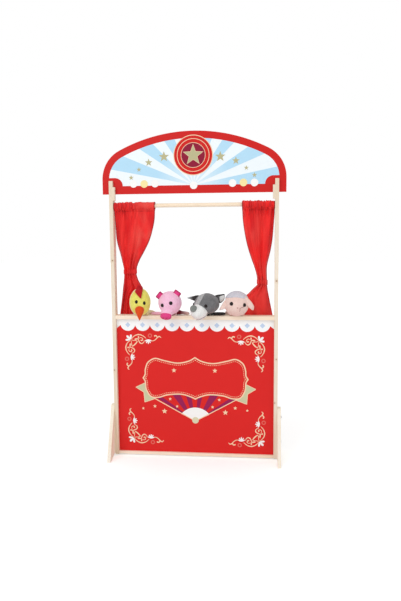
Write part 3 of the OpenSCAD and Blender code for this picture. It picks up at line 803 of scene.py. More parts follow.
# Corner scroll, in millimetres right of and below its corner: lines of the arm that lies along the top,
# with their widths. The arm down the side is the same with the two swapped.
VINES = [
    ([(10, 6), (17.4, -2.4), (26, -8.2), (36.5, -10.8), (47, -9), (56, -4), (64, 3)],
     [(0, 1.8), (0.5, 4.2), (1, 1.8)]),
    ([(35, 4.5), (37.5, 12.2), (41, 18.5), (47, 21.5), (53, 19), (56.5, 13.5), (56.8, 9)],
     [(0, 2.6), (0.4, 4), (1, 1.2)]),
    ([(39, 2.8), (43.4, 0.4), (48.5, 1), (51.4, 5), (50, 10), (46.6, 10.8), (45, 8.5)],
     [(0, 1.4), (0.5, 2.6), (1, 4.4)]),
    ([(81.6, 11.5), (90.3, 11), (97, 7.3), (102.5, 1.7), (103.8, -3), (99, -7.6), (93, -5.2)],
     [(0, 2), (0.5, 3.2), (1, 4.4)]),
    ([(102.5, 1.7), (107.7, -3), (113, -4.5), (118, 0.3)], [(0, 2.6), (0.5, 4), (1, 2)]),
    ([(10, 8), (17, 10.5), (24, 10.5), (30, 12)], [(0, 1.6), (1, 2.8)]),
]
CRESCENT = [(32.3, 12.9), (27.5, 20), (20, 27.5), (12.9, 32.3)]
CRESCENT_W = [(0, 2.6), (0.5, 4.8), (1, 2.6)]
# Place, length, width and direction, in degrees from straight right and growing downwards
LEAVES = [(35.8, 4, 9.5, 6, -85), (36.4, 4.2, 15, 6.5, 172)]
FLOWER_AT = (71.5, 6.5)
FLOWER = [(13.5, 152), (15.5, 119), (16.5, 88), (15.5, 57), (13.5, 24)]
PETAL_W = 5.6
BUD_AT = (78, -7.3)
BUD_R = 7.8
BUD_HOLE_R = 4.2
CORNER_FLOWER_AT = (7.3, 7.3)
CORNER_FLOWER = [(20, 11, 225), (18.5, 9.5, -84), (18.5, 9.5, 174)]
CORNERS = [(-238, 434, 1, 1), (236, 433, -1, 1), (-234, 55, 1, -1), (238, 53, -1, -1)]


def scroll_shapes():
    """Cream lines, white petals and rose buds of the four corner scrolls."""
    cream, white, rose = [], [], []
    for cx, cz, across, down in CORNERS:

        def put(right, below):
            return (cx + across * right, cz - down * below)

        def arms_of(line):
            """The same line along the top and down the side."""
            return [put(*p) for p in line], [put(p[1], p[0]) for p in line]

        for line, widths in VINES:
            cream += [stroke(side, widths) for side in arms_of(curve_through(line, 6))]
        cream.append(stroke([put(*p) for p in curve_through(CRESCENT, 6)], CRESCENT_W))
        for leaf in LEAVES:
            cream += arms_of(petal(*leaf))
        for length, angle in FLOWER:
            white += arms_of(petal(*FLOWER_AT, length, PETAL_W, angle))
        for leaf in CORNER_FLOWER:
            white.append(arms_of(petal(*CORNER_FLOWER_AT, *leaf))[0])
        outer, inner = (arms_of(disc(*BUD_AT, radius, 28)) for radius in (BUD_R, BUD_HOLE_R))
        rose += [list(bud) for bud in zip(outer, inner)]
    return cream, white, rose


def panel_artwork():
    art = Artwork(PANEL_FRONT, "panel_paint")
    art.add("panel_valance", [valance_outline()], "valance", 1)
    corners = ((-DIAMOND, 0), (0, -DIAMOND), (DIAMOND, 0), (0, DIAMOND))
    diamonds = [[(middle + x, DIAMOND_Z + z) for x, z in corners] for middle in lobe_middles()]
    art.add("valance_diamonds", diamonds, "diamond", 2)
    pennants = [PENNANT, mirrored(PENNANT, CARTOUCHE_X)]
    art.add("pennants", pennants, "khaki", 1)
    edges = [stroke(side, [(0, PENNANT_EDGE_W)]) for p in pennants for side in sides_of(p)]
    art.add("pennant_edges", edges, "cream", 2)
    folds = [[FAN_APEX] + arc(*FAN_APEX, FAN_REACH, start, end, 4) for start, end in FAN_SIDES]
    for start, end in FAN_FOLDS:
        near = arc(FAN_APEX[0], SECTOR_Z, FOLD_FROM, end, start, 3)
        folds.append(near + arc(FAN_APEX[0], SECTOR_Z, FOLD_TO, start, end, 4))
    art.add("fan_folds", folds, "purple", 1)
    art.add("fan_sector", [[FAN_APEX] + arc(FAN_APEX[0], SECTOR_Z, SECTOR_R, *SECTOR_SPAN, 20)], "white", 3)
    field = cartouche_outline()
    art.add("cartouche_field", [field], "panel_red", 3)
    art.add("fan_edges", [stroke([FAN_APEX, end], [(0, FAN_EDGE_W)]) for end in FAN_ENDS], "cream", 4)
    art.add("cartouche_edge", [[field, cartouche_outline(CARTOUCHE_EDGE_W)]], "cream", 5)
    art.add("cartouche_dashes", dashes(cartouche_outline(DASHES[0]), *DASHES[1:]), "cream", 5)
    art.add("fan_hub", [disc(FAN_APEX[0], FAN_APEX[1] + HUB_RISE, HUB_R)], "hub", 5)
    art.add("panel_stars", [star(x, z, r, 0.45) for x, z, r in PANEL_STARS], "cream", 5)
    cream, white, rose = scroll_shapes()
    art.add("scroll_buds", rose, "rose", 1)
    art.add("scroll_vines", cream, "cream", 1)
    art.add("scroll_flowers", white, "white", 2)


# Curtains
HALF_OPEN = 280.0
Z_STAGE = 515.0
Z_ROD = 900.0
HEM_Z = 500.0
POCKET_Z = 878
FRILL_Z = 912
FRONT_ROWS = 84
POCKET_ROWS = 16
COLUMNS = 220
POST_GAP = 0.7
ROD_GAP = 1.5
GATHER_INNER = [(0, 0), (0.11, 0.1), (0.2, 0.26), (0.3, 0.43), (0.4, 0.59), (0.5, 0.72), (0.62, 0.83),
                (0.75, 0.93), (0.88, 0.98), (1, 1)]
FLARE_OUTER = [(0, 1), (0.2, 0.88), (0.6, 0.54), (1, 0.18)]
SWING_BACK = [(0, 1), (0.16, 1), (0.35, 0.75), (0.6, 0.4), (0.9, 0), (1, 0)]
POCKET_DEPTH = [(-20, 0), (-15, 5), (-8, 21), (0, 23), (8, 20), (11, 10), (13, 3), (16, 2)]
SKIRT_Y = 31.5
SKIRT_FOLD = 4.6
FOLD = 4.2
HEADING_FOLD = 2.4
FOLDS = 5
GATHERS = 12
GATHER_DEPTH = 3.0
CREASES = 4.5
CREASE_DEPTH = 2.0
DRIFT_DEPTH = 1.6
HEM_CURL = 4.5
HEM_CURL_W = 3.5
NOTCHES = 14
NOTCH_DEPTH = 3.2
HEM_W = 2.2
CLOTH_T = 0.7
CLOTH_DROP = 0.43
CLOTH_WIDTHS = {"left": 0.185, "right": 0.145}
# Share of the cut cloth that is left when the rod pocket is turned over
CLOTH_SEEN = 0.93
BAND_T = 1.0
BAND_INSET = 1.5
BAND_CORNER = 1.2
BAND_OFF = 2.4
BAND_BULGE = 1.1
BAND_SLANT = 1.6
BAND_ROWS = 11
BAND_COLUMNS = 160
CURTAINS = {
    "left": {
        "side": 1, "heading_w": 146, "waist_in": 22, "waist_w": 45, "skirt_calm": 1.0,
        "gather_outer": [(0, 1), (0.06, 0.86), (0.23, 0.54), (0.34, 0.25), (0.42, 0.07), (0.5, 0), (1, 0)],
        "flare": [(0, 0), (21, 6), (41, 17), (50, 23), (56, 19), (66, 3), (80, -6), (110, -14)],
        "frill": [(0.5, 1), (0.65, 0.4), (1, 0.25)],
    },
    "right": {
        "side": -1, "heading_w": 112, "waist_in": 25, "waist_w": 34, "skirt_calm": 0.35,
        "gather_outer": [(0, 1), (0.1, 1.06), (0.21, 1), (0.35, 0.61), (0.51, 0.29), (0.72, 0.12), (0.9, 0),
                         (1, 0)],
        "flare": [(0, 0), (12, 14), (28, 29), (39, 42), (50, 44), (72, 44), (88, 48)],
        "frill": [(0, 1)],
    },
}


def share(low, high, value):
    return (value - low) / (high - low)


def finish_sheet(piece, slot, node, body, **cut):
    """Hides the part a cloth replaces, puts the cloth on its body. cut, how it was cut and held, is unused.
    """
    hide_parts(node)
    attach(piece, body)


class Curtain:
    """One curtain, from its table in CURTAINS. Side 1 is the left, -1 its mirrored neighbour."""

    def __init__(self, name):
        self.name = name
        for key, value in CURTAINS[name].items():
            setattr(self, key, value)
        self.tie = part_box(f"{name}_tie_back")
        self.tie_bottom, self.tie_top = (corner.z / MM for corner in self.tie)
        low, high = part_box("curtain_rod")
        self.rod_clear = (high.z - low.z) / MM / 2 + ROD_GAP

    def edges(self, z):
        waist = self.waist_in + self.waist_w
        if z >= self.tie_top:
            up = share(self.tie_top, Z_ROD, z)
            inner = waist + (self.heading_w - waist) * eased(up, GATHER_INNER)
            drawn = eased(up, self.gather_outer)
        else:
            inner = waist + lookup(self.tie_bottom - z, self.flare)
            drawn = lookup(share(self.tie_bottom, Z_STAGE, z), FLARE_OUTER)
        return POST_GAP + (self.waist_in - POST_GAP) * drawn, inner

    def middle(self, z):
        return SKIRT_Y * eased(share((self.tie_top + self.tie_bottom) / 2, Z_ROD, z), SWING_BACK)

    def fold(self, u, z):
        """Half depth of the main folds: full at the band and below, calmer where the cloth hangs loose."""
        loose = lookup(share(self.tie_top, Z_ROD, z), [(0.1, 0), (0.5, 1)])
        full = SKIRT_FOLD + (FOLD - SKIRT_FOLD) * loose
        near = lookup(z, [(Z_ROD - 50, 0), (Z_ROD - 12, 1)])
        calm = 1 + (lookup(u, self.frill) - 1) * loose
        return calm * (full + (HEADING_FOLD - full) * near)

    def below_band(self, z):
        """Strength of creases below the band."""
        return lookup(self.tie_bottom - z, [(0, 1), (30, self.skirt_calm)])

    def ripple(self, u, z):
        """Small gathers under the heading and creases at the band."""
        wander = wobble(u * 5, z * 0.012, self.side * 5.0)
        drift = wobble(u * 3, z * 0.02, self.side * 11.0)
        heading = lookup(abs(z - (Z_ROD - 14)), [(0, 1), (10, 0.9), (26, 0.35), (60, 0)])
        band = lookup(abs(z - (self.tie_top + self.tie_bottom) / 2), [(0, 0.6), (14, 1), (80, 0)])
        gathers = sin(2 * pi * (GATHERS * u + 1.3 * wander)) * GATHER_DEPTH * heading * lookup(u, self.frill)
        creases = sin(2 * pi * (CREASES * u + 1.1 * drift + self.side * z * 0.011)) * CREASE_DEPTH * band
        return gathers + creases * self.below_band(z) + DRIFT_DEPTH * drift

    def point(self, u, z, back=0.0, top_lift=0.0):
        """Place of the cloth at a share of its width.

        back is -1 for the front, 1 for the pocket's back and 0 for the middle between them.
        """
        outer, inner = self.edges(z)
        x = -HALF_OPEN + outer + (inner - outer) * u
        turn = 2 * pi * FOLDS * (u + 0.09 * wobble(u * 2.1, z * 0.004, self.side * 3.0))
        broad = sin(0.57 * turn + 2 + self.side)
        wave = self.fold(u, z) * (0.65 * self.below_band(z) * sin(turn + 0.7) + 0.6 * broad)
        hem = HEM_CURL * exp(-min(u, 1 - u) * (inner - outer) / HEM_CURL_W)
        hem *= lookup(z, [(Z_ROD - 40, 1), (Z_ROD - 15, 0)])
        depth = lookup(z - Z_ROD, POCKET_DEPTH) / 2
        y = self.middle(z) + wave + self.ripple(u, z) + hem + back * depth
        rod = self.rod_clear ** 2 - (z - Z_ROD) ** 2
        if back and rod > 0:
            y = back * max(back * y, sqrt(rod))
        return (self.side * x, y, z + top_lift)

    def rows(self):
        """Heights of the front from hem to frill, then of the back from frill to seam."""
        front = [HEM_Z + (POCKET_Z - HEM_Z) * k / FRONT_ROWS for k in range(FRONT_ROWS)]
        rise = [POCKET_Z + (FRILL_Z - POCKET_Z) * k / POCKET_ROWS for k in range(POCKET_ROWS + 1)]
        return [(z, -1.0) for z in front + rise] + [(z, 1.0) for z in rise[:0:-1]]

    def frill_lift(self, u):
        """How far the frill's top edge stands up or dips."""
        ruffle = wobble(u * 23, 3.3 * self.side, 0) * 3.4 + wobble(u * 7, 8.1 * self.side, 0) * 3
        notch = 1 - abs(sin(pi * (NOTCHES * u + 1.5 * wobble(u * 6, 1.1, self.side))))
        return (ruffle - NOTCH_DEPTH * notch ** 3) * lookup(u, self.frill)

    def make_cloth(self):
        rows = self.rows()
        points = []
        for z, back in rows:
            near_top = lookup(z, [(FRILL_Z - 8, 0), (FRILL_Z, 1)])
            for u in fractions(COLUMNS):
                points.append(self.point(u, z, back, near_top * self.frill_lift(u)))
        cloth = add_mesh(f"{self.name}_curtain_cloth", points, grid_faces(len(rows), COLUMNS + 1), "curtain")
        # A darker doubled hem along both edges, partly painted shade where the edges turn away.
        cloth.data.materials.append(MATERIALS["curtain_hem"])
        for face in cloth.data.polygons:
            row, column = divmod(face.index, COLUMNS)
            outer, inner = self.edges(rows[row][0])
            near = min(column, COLUMNS - 1 - column) / COLUMNS * (inner - outer)
            face.material_index = int(near < HEM_W)
        thicken(cloth, CLOTH_T)
        node = f"{self.name}_curtain"
        width = CLOTH_WIDTHS[self.name]
        area = CLOTH_SEEN * width * CLOTH_DROP
        finish_sheet(cloth, "curtain_cloth", node, node,
                     flat=(width, CLOTH_DROP), held="gathered", rests_on=["curtain_rod"], area=area)

    def make_band(self):
        """A cloth band drawn tight round the waist, so that it follows the folds."""
        low, high = self.tie
        middle = (low.x + high.x) / 2 / MM
        half = (high.x - low.x) / 2 / MM - BAND_CORNER
        points = []
        for up in fractions(BAND_ROWS - 1):
            z = self.tie_bottom + BAND_INSET + ((high.z - low.z) / MM - 2 * BAND_INSET) * up
            outer, inner = self.edges(z)
            for a in angles(BAND_COLUMNS):
                wide, deep = cos(a), sin(a)
                x = middle + half * copysign(abs(wide) ** 0.6, wide)
                u = (self.side * x + HALF_OPEN - outer) / (inner - outer)
                cloth = self.point(min(1, max(0, u)), z)[1]
                stand_off = BAND_OFF + BAND_BULGE * sin(pi * up) + 0.5 * wobble(wide * 3, deep * 3, up * 2)
                waver = 0.8 * wobble(wide * 2.3, deep * 2.3, self.side * 9.0)
                y = cloth + stand_off * copysign(abs(deep) ** 0.5, deep)
                points.append((x, y, z + (self.side * BAND_SLANT * wide + waver)))
        lowest = [Vector(p) for p in points[:BAND_COLUMNS]]
        length = sum((a - b).length for a, b in sides_of(lowest))
        faces = grid_faces(BAND_ROWS, BAND_COLUMNS, closed=True)
        band = add_mesh(f"{self.name}_tie_band", points, faces, "curtain")
        thicken(band, BAND_T)
        flat = (length * MM, (high.z - low.z) - 2 * BAND_INSET * MM)
        finish_sheet(band, "curtain_cloth", f"{self.name}_tie_back", f"{self.name}_curtain",
                     flat=flat, held="gathered", rests_on=[f"{self.name}_curtain"])


def make_curtains():
    for name in CURTAINS:
        curtain = Curtain(name)
        curtain.make_cloth()
        curtain.make_band()


# Puppets
SHELF_TOP = 515.3
# Height over which a stuffed piece flattens where it lies on the shelf
SQUASH = 3


def ball(width, depth, height, taper=0.0):
    """Shape of a stuffed ball by its half sizes, drawn in by a share towards the top."""

    def shape(way):
        drawn = 1 - taper * way.z
        return (width * way.x * drawn, depth * way.y * drawn, height * way.z)

    return shape


def stuffed(name, centre, shape, material, seams=(), lump=0.7, level=6, floor=SHELF_TOP):
    """A stuffed ball. shape gives the point for a direction; seams are planes through the centre."""
    work = bmesh.new()
    bmesh.ops.create_icosphere(work, subdivisions=level, radius=1)
    points = []
    for vert in work.verts:
        point = Vector(shape(vert.co.normalized()))
        size = point.length
        push = lump * noise.noise(point * 0.06 + centre) + 0.25 * noise.noise(point * 0.3 + centre)
        for normal, width, depth in seams:
            off = abs(point.dot(Vector(normal)))
            if off < width:
                push -= depth * (1 - off / width) ** 2
        place = centre + point * ((size + push) / size)
        if floor and place.z < floor + SQUASH:
            place.z = floor + SQUASH * exp((place.z - floor - SQUASH) / SQUASH)
        points.append(place)
    faces = [tuple(v.index for v in f.verts) for f in work.faces]
    work.free()
    return add_mesh(name, points, faces, material)


def tube(name, rings, material, tips=()):
    """A skin over rings of points, closed where the tips of its two ends are given."""
    count = len(rings[0])
    points = [p for r in rings for p in r] + list(tips)
    faces = grid_faces(len(rings), count, closed=True)
    for tip, first in zip(range(len(rings) * count, len(points)), (0, (len(rings) - 1) * count)):
        faces += fan_faces(tip, first, count)
    return add_mesh(name, points, faces, material)


def capped_tube(name, rings, material):
    return tube(name, rings, material, [middle_of(rings[0]), middle_of(rings[-1])])


def oval_ring(centre, side, up, half_side, half_up, count):
    return [centre + cos(a) * half_side * side + sin(a) * half_up * up for a in angles(count)]


def finish_soft(piece, slot, fill, *replaced):
    """Hides the parts that a stuffed piece replaces and puts it on the puppet that its name starts with."""
    if replaced:
        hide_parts(*replaced)
    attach(piece, piece.name.split("_")[0])


def frame_of(axis):
    """Two directions square to an axis: sideways and upwards."""
    axis = axis.normalized()
    side = UP.cross(axis)
    if side.length < 0.01:
        side = ACROSS.copy()
    side.normalize()
    return side, axis.cross(side)


def smooth_radius(t, profile):
    """A smooth line through the profile's points."""
    for i, ((x0, y0), (x1, y1)) in enumerate(zip(profile, profile[1:])):
        if t <= x1:
            step = x1 - x0
            s = (t - x0) / step
            before = profile[i - 1] if i else (x0, y0)
            after = profile[i + 2] if i + 2 < len(profile) else (x1, y1)
            rise_in = (y1 - before[1]) / (x1 - before[0]) * step
            rise_out = (after[1] - y0) / (after[0] - x0) * step
            start = (2 * s ** 3 - 3 * s * s + 1) * y0 + (s ** 3 - 2 * s * s + s) * rise_in
            return start + (-2 * s ** 3 + 3 * s * s) * y1 + (s ** 3 - s * s) * rise_out
    return profile[-1][1]


def spindle(name, start, end, profile, material, flat=1.0, count=40, steps=28):
    """A round or flattened body along a line. profile gives shares of the way and the radius."""
    start, end = Vector(start), Vector(end)
    side, up = frame_of(end - start)
    rings = []
    for t in fractions(steps):
        radius = max(smooth_radius(t, profile), 0.05)
        rings.append(oval_ring(start + (end - start) * t, side, up, radius, radius * flat, count))
    return capped_tube(name, rings, material)


# Rings of a felt flap: share of the way out from its middle, and of its half thickness
FLAP_RINGS = [(0.35, 0.95), (0.62, 0.85), (0.82, 0.65), (0.94, 0.38), (1.0, 0.0)]
BEND_AT = 20


def flap(name, centre, outline, thickness, material, bend=0.3, side=ACROSS, up=UP):
    """A padded felt flap: an outline in its own plane, thickest in the middle, bent by so much at BEND_AT."""
    normal = side.cross(up).normalized()
    line = curve_through(outline, 5, closed=True)
    middle = middle_of(line)

    def place(point, height):
        return centre + point[0] * side + point[1] * up + height * normal

    half = thickness / 2
    rings = []
    for out, height in FLAP_RINGS + [(out, -height) for out, height in FLAP_RINGS[-2::-1]]:
        spots = [middle + (p - middle) * out for p in line]
        rings.append([place(q, height * half + bend * (q.length_squared / BEND_AT ** 2)) for q in spots])
    return tube(name, rings, material, [place(middle, half), place(middle, -half)])


def join(name, pieces):
    """Makes one object of several."""
    work = bmesh.new()
    for piece in pieces:
        work.from_mesh(piece.data)
    mesh = bpy.data.meshes.new(name)
    work.to_mesh(mesh)
    work.free()
    mesh.materials.append(pieces[0].data.materials[0])
    for old in pieces:
        bpy.data.objects.remove(old)
    return new_object(name, mesh)


LINING_T = 3.0


def lined_ears(body, slot, ears, edge, edge_t, lining, forward, bend):
    """Two felt ears, each with a lining a little in front of it.

    ears gives each one's place, tilt in degrees, outline and lining's outline.
    """
    outsides, insides = [], []
    for k, (centre, tilt, outline, inner) in enumerate(ears):
        turn = radians(tilt)
        side = Vector((cos(turn), 0, -sin(turn)))
        up = Vector((sin(turn), 0, cos(turn)))
        outsides.append(flap(f"{body}_ear_{k}", centre, outline, edge_t, edge, bend, side, up))
        inside = centre - Vector((0, forward, 0))
        insides.append(flap(f"{body}_ear_inside_{k}", inside, inner, LINING_T, lining, bend, side, up))
    finish_soft(join(f"{body}_felt_ears", outsides), slot, 0.4, f"{body}_ears")
    finish_soft(join(f"{body}_ear_insides", insides), slot, 0.4)


GLOVE_PATH = [
    # y, z, half width, half depth
    (62, 379.5, 35.5, 19.5), (62, 383, 35.6, 19.6), (62, 410, 34, 19), (62, 446, 31.5, 18.3),
    (62, 480, 28.5, 17.5), (61, 500, 25, 15.5), (57, 513, 21, 11.5), (48, 520, 15, 8), (36, 522, 12, 6.4),
    (20, 522.2, 10.8, 6.2), (4, 522.2, 10.6, 6.2), (-6, 522.2, 10.6, 6.2),
]
GLOVE_COLUMNS = 72
GLOVE_FOLD = 0.045
GLOVE_CREASE = 0.03
GLOVE_SLACK = 0.02
GLOVE_T = 1.6
GLOVE_FLAT = (0.185, 0.215)
GLOVE_AREA = 0.029


def glove(body, neck, material, slot):
    """The cloth tube for the hand: it hangs behind the shelf and comes forward over it to the head.

    neck gives the tube's middle from side to side, by its depth.
    """
    glove_x = neck[-1][1]
    path = curve_through([(y, z, lookup(y, neck)) for y, z, _, _ in GLOVE_PATH], 4)
    sizes = curve_through([(half_w, half_d, 0) for _, _, half_w, half_d in GLOVE_PATH], 4)
    rings = []
    for i, ((y, z, x), (half_w, half_d, _)) in enumerate(zip(path, sizes)):
        before, after = neighbours(path, i)
        up = Vector((0, after[0] - before[0], after[1] - before[1])).normalized().cross(ACROSS)
        hang = lookup(z, [(379, 1), (470, 0.6), (515, 0)])
        middle = Vector((x, y, z))
        points = []
        for a in angles(GLOVE_COLUMNS):
            fold = GLOVE_FOLD * sin(5 * a + 0.02 * z + glove_x) + GLOVE_CREASE * sin(8 * a - 0.03 * z)
            full = 1 + fold * hang - GLOVE_SLACK * hang
            points.append(middle + cos(a) * half_w * full * ACROSS + sin(a) * half_d * full * up)
        rings.append(points)
    piece = tube(f"{body}_cloth_glove", rings, material)
    thicken(piece, GLOVE_T, -1)
    finish_sheet(piece, slot, f"{body}_glove", body,
                 flat=GLOVE_FLAT, held="hung", rests_on=["stage_shelf"], area=GLOVE_AREA)


ARM_R = 5.6
SLEEVE_R = 4.8


def arms(body, y, left, right, material, slot, right_material=None, right_sleeve=SLEEVE_R):
    """Two soft arms along the shelf, each from its rounded tip to its root at the neck."""
    z = SHELF_TOP + ARM_R
    sides = (("left", left, material, SLEEVE_R), ("right", right, right_material or material, right_sleeve))
    for side, (tip, root), colour, root_r in sides:
        profile = [(0, 0.3), (0.04, 3.0), (0.15, 5.0), (0.4, 5.7), (0.55, ARM_R),
                   (0.8, 0.4 * ARM_R + 0.6 * root_r), (1, root_r)]
        end = (root, y, z + root_r - SLEEVE_R)
        finish_soft(spindle(f"{body}_arms_{side}", (tip, y, z), end, profile, colour, 1.0, 32, 24), slot, 0.5)


def on_head(radius, half_height, turn, up):
    """Point of an upright oval head, turned to the right and up by degrees."""
    turn, up = radians(turn), radians(up)
    flat = radius * cos(up)
    return Vector((flat * sin(turn), -flat * cos(turn), half_height * sin(up)))


EYE_FLAT = 0.8
EYE_SUNK = 0.98


def eyes(body, centre, radius, half_height, turns, half_w, half_h):
    """Two oval black eyes, half sunk in the head."""
    name = f"{body}_bead_eyes"
    shape = ball(half_w, EYE_FLAT * half_w, half_h)
    pair = []
    for k, (turn, up) in enumerate(turns):
        place = centre + on_head(radius, half_height, turn, up) * EYE_SUNK
        pair.append(stuffed(f"{name}_{k}", place, shape, "bead_black", lump=0, level=4, floor=None))
    finish_soft(join(name, pair), "eye_felt", 0.9, f"{body}_eyes")


def on_ball(centre, radius, x, z):
    """Point on the front of a ball, so far to the right of and above its middle."""
    return centre + Vector((x, -sqrt(radius * radius - x * x - z * z), z))


def cord_along(name, line, radius, material):
    """A thin stitched thread along a few points."""
    line = curve_through(line, 4)
    rings = []
    for i, point in enumerate(line):
        before, after = neighbours(line, i)
        rings.append(oval_ring(point, *frame_of(after - before), radius, radius, 10))
    return capped_tube(name, rings, material)


CHICK_AT = Vector((-190.5, -17, 564.3))
CHICK_R = 37
CHICK_HALF_H = 49
BEAK = [(0, 2), (0.05, 8), (0.13, 13), (0.25, 15.8), (0.38, 15), (0.6, 10.5), (0.85, 4.6), (0.97, 2),
        (1, 0.4)]


def make_chick():
    shape = ball(CHICK_R, CHICK_R, CHICK_HALF_H, 0.04)
    head = stuffed("chick_plush_head", CHICK_AT, shape, "chick_plush", [((0, 1, 0), 2.5, 1.0)])
    finish_soft(head, "chick_felt", 0.9, "chick_head")
    beak_way = on_head(CHICK_R, CHICK_HALF_H, 7, -22)
    tip = CHICK_AT + beak_way * 0.66 + Vector((6, -32, -46))
    beak = spindle("chick_felt_beak", CHICK_AT + beak_way * 0.62, tip, BEAK, "beak_orange", 0.92)
    finish_soft(beak, "beak_felt", 0.7, "chick_beak")
    finish_soft(chick_comb(), "comb_felt", 0.3, "chick_comb")
    eyes("chick", CHICK_AT, CHICK_R, CHICK_HALF_H, ((-8, 4.6), (35, -1)), 5.2, 6.6)
    glove("chick", [(-6, -180.5), (62, -164.5)], "chick_cloth", "chick_felt")
    arms("chick", -2, (-216, -192), (-163, -178), "chick_cloth", "chick_felt")


# Left and right side of the comb, by the share of its height
COMB_LEFT = [(0, 10), (0.09, 6), (0.5, -13), (0.76, -8), (0.93, -4), (1, -1)]
COMB_RIGHT = [(0, 12), (0.09, 13), (0.63, 15), (0.91, 7), (1, 1)]
COMB_FROM = 16
COMB_RISE = 46
COMB_HALF_T = 2.6
COMB_FORWARD = 1.2


def chick_comb():
    """Felt wedge that lies on the forehead and stands up above the crown."""
    rows, columns = 24, 14
    wide = columns + 1
    points = []
    for way in (-1, 1):
        for t in fractions(rows):
            left, right = lookup(t, COMB_LEFT), lookup(t, COMB_RIGHT)
            for u in fractions(columns):
                x = left + (right - left) * u
                z = COMB_FROM + COMB_RISE * t
                inside = 1 - (x / CHICK_R) ** 2 - (z / CHICK_HALF_H) ** 2
                y = -CHICK_R * sqrt(max(inside, 0) + 0.16)
                swell = COMB_HALF_T * min(1, min(u, 1 - u, t, 1 - t) * 9) ** 0.5
                points.append(CHICK_AT + Vector((x, y - COMB_FORWARD + way * swell, z)))
    rim = list(range(wide)) + [r * wide + columns for r in range(1, rows + 1)]
    rim += [rows * wide + c for c in range(columns - 1, -1, -1)] + [r * wide for r in range(rows - 1, 0, -1)]
    half = (rows + 1) * wide
    faces = two_layers(rows + 1, wide) + rim_faces(rim, half)
    piece = add_mesh("chick_felt_comb", points, faces, "comb_red")
    piece.modifiers.new("soft", "SUBSURF").levels = 1
    return piece


PIG_AT = Vector((-83, -21, 562))
PIG_R = 41
SNOUT_AT = PIG_AT + Vector((-9.5, -34.5, -42.3))
# Half width, half height and half depth of the cushion
SNOUT_HALF = (20.2, 14.6, 12)
MUZZLE_FROM = 22
MUZZLE_PROFILE = [(0, 25), (0.4, 23), (0.8, 19), (1, 16)]
NOSTRIL_R = 5
NOSTRIL_DEPTH = 2.6
NOSTRIL_PROFILE = [(0, 0.2), (0.3, 2.2), (1, 2.2)]
PIG_EAR = [(-12, -11), (0, -12), (12, -11), (12.8, -2), (12.2, 6), (0, 7), (-12.2, 6), (-12.8, -2)]
PIG_LINING = [(-8, -7), (0, -8), (8, -7), (8.6, -2), (8, 3), (0, 3.6), (-8, 3), (-8.6, -2)]


def make_pig():
    seams = [((0.92, 0.4, 0), 2.2, 0.8), ((0, 1, 0.2), 2.2, 0.8)]
    head = stuffed("pig_plush_head", PIG_AT, ball(PIG_R, PIG_R, PIG_R), "pig_plush", seams)
    finish_soft(head, "pig_felt", 0.9, "pig_head")
    pig_snout()
    ears = [(PIG_AT + Vector(place), tilt, PIG_EAR, PIG_LINING)
            for place, tilt in (((-36.1, -9.8, 27.9), -50), ((27.9, -9.8, 35.7), 37))]
    lined_ears("pig", "pig_trim", ears, "pig_edge", 6.5, "pig_trim", 2.4, 0.6)
    eyes("pig", PIG_AT, PIG_R, PIG_R, ((-31.5, -7), (12.5, 4.4)), 6.2, 6.6)
    glove("pig", [(-6, -83), (62, -83)], "pig_plush", "pig_felt")
    # The right arm takes the painted shadow under the head.
    arms("pig", 8, (-160, -95), (-17, -62), "pig_plush", "pig_felt", "pig_shaded", 9.5)


def pig_snout():
    """A short muzzle, the round cushion in front of it and its two nostrils."""
    axis = (SNOUT_AT - PIG_AT).normalized()
    side, up = frame_of(axis)
    start = PIG_AT + axis * MUZZLE_FROM
    muzzle = spindle("pig_plush_muzzle", start, SNOUT_AT, MUZZLE_PROFILE, "pig_plush", 0.82)
    finish_soft(muzzle, "pig_felt", 0.7)

    def cushion(way):
        wide, high, deep = SNOUT_HALF
        along = deep * copysign(abs(way.z) ** 0.7, way.z)
        return wide * way.x * side + high * way.y * up + along * axis

    snout = stuffed("pig_felt_snout", SNOUT_AT, cushion, "pig_trim", lump=0.4, level=5, floor=None)
    nostrils = [SNOUT_AT + axis * 11.4 + side * off * 6.5 + up * 2.5 for off in (-1, 1)]
    for vert in snout.data.vertices:
        place = vert.co / MM
        for hole in nostrils:
            off = (place - hole).length
            if off < NOSTRIL_R:
                vert.co -= axis * NOSTRIL_DEPTH * (1 - off / NOSTRIL_R) * MM
    finish_soft(snout, "pig_trim", 0.7, "pig_snout")
    pits = []
    for k, hole in enumerate(nostrils):
        ends = (hole + axis * 0.3, hole - axis * 3.6)
        pits.append(spindle(f"pig_nostril_{k}", *ends, NOSTRIL_PROFILE, "pig_edge", 0.8, 16, 6))
    finish_soft(join("pig_nostrils", pits), "pig_trim", 0.5)


DOG_AT = Vector((46.5, -24, 560.5))
DOG_R = 44
DOG_HALF_H = 36
MUZZLE_AT = DOG_AT + Vector((-24.5, -26, -26))
MUZZLE_R = 30
MUZZLE_HALF_H = 27.6
MUZZLE_SEAM = [(30, 0, 2), (29.2, -6, -4.6), (23.4, -13.5, -13), (14.8, -17, -19), (2.7, -14.5, -24.5),
               (-9, -5, -27.5)]
NOSE_R = 12.5


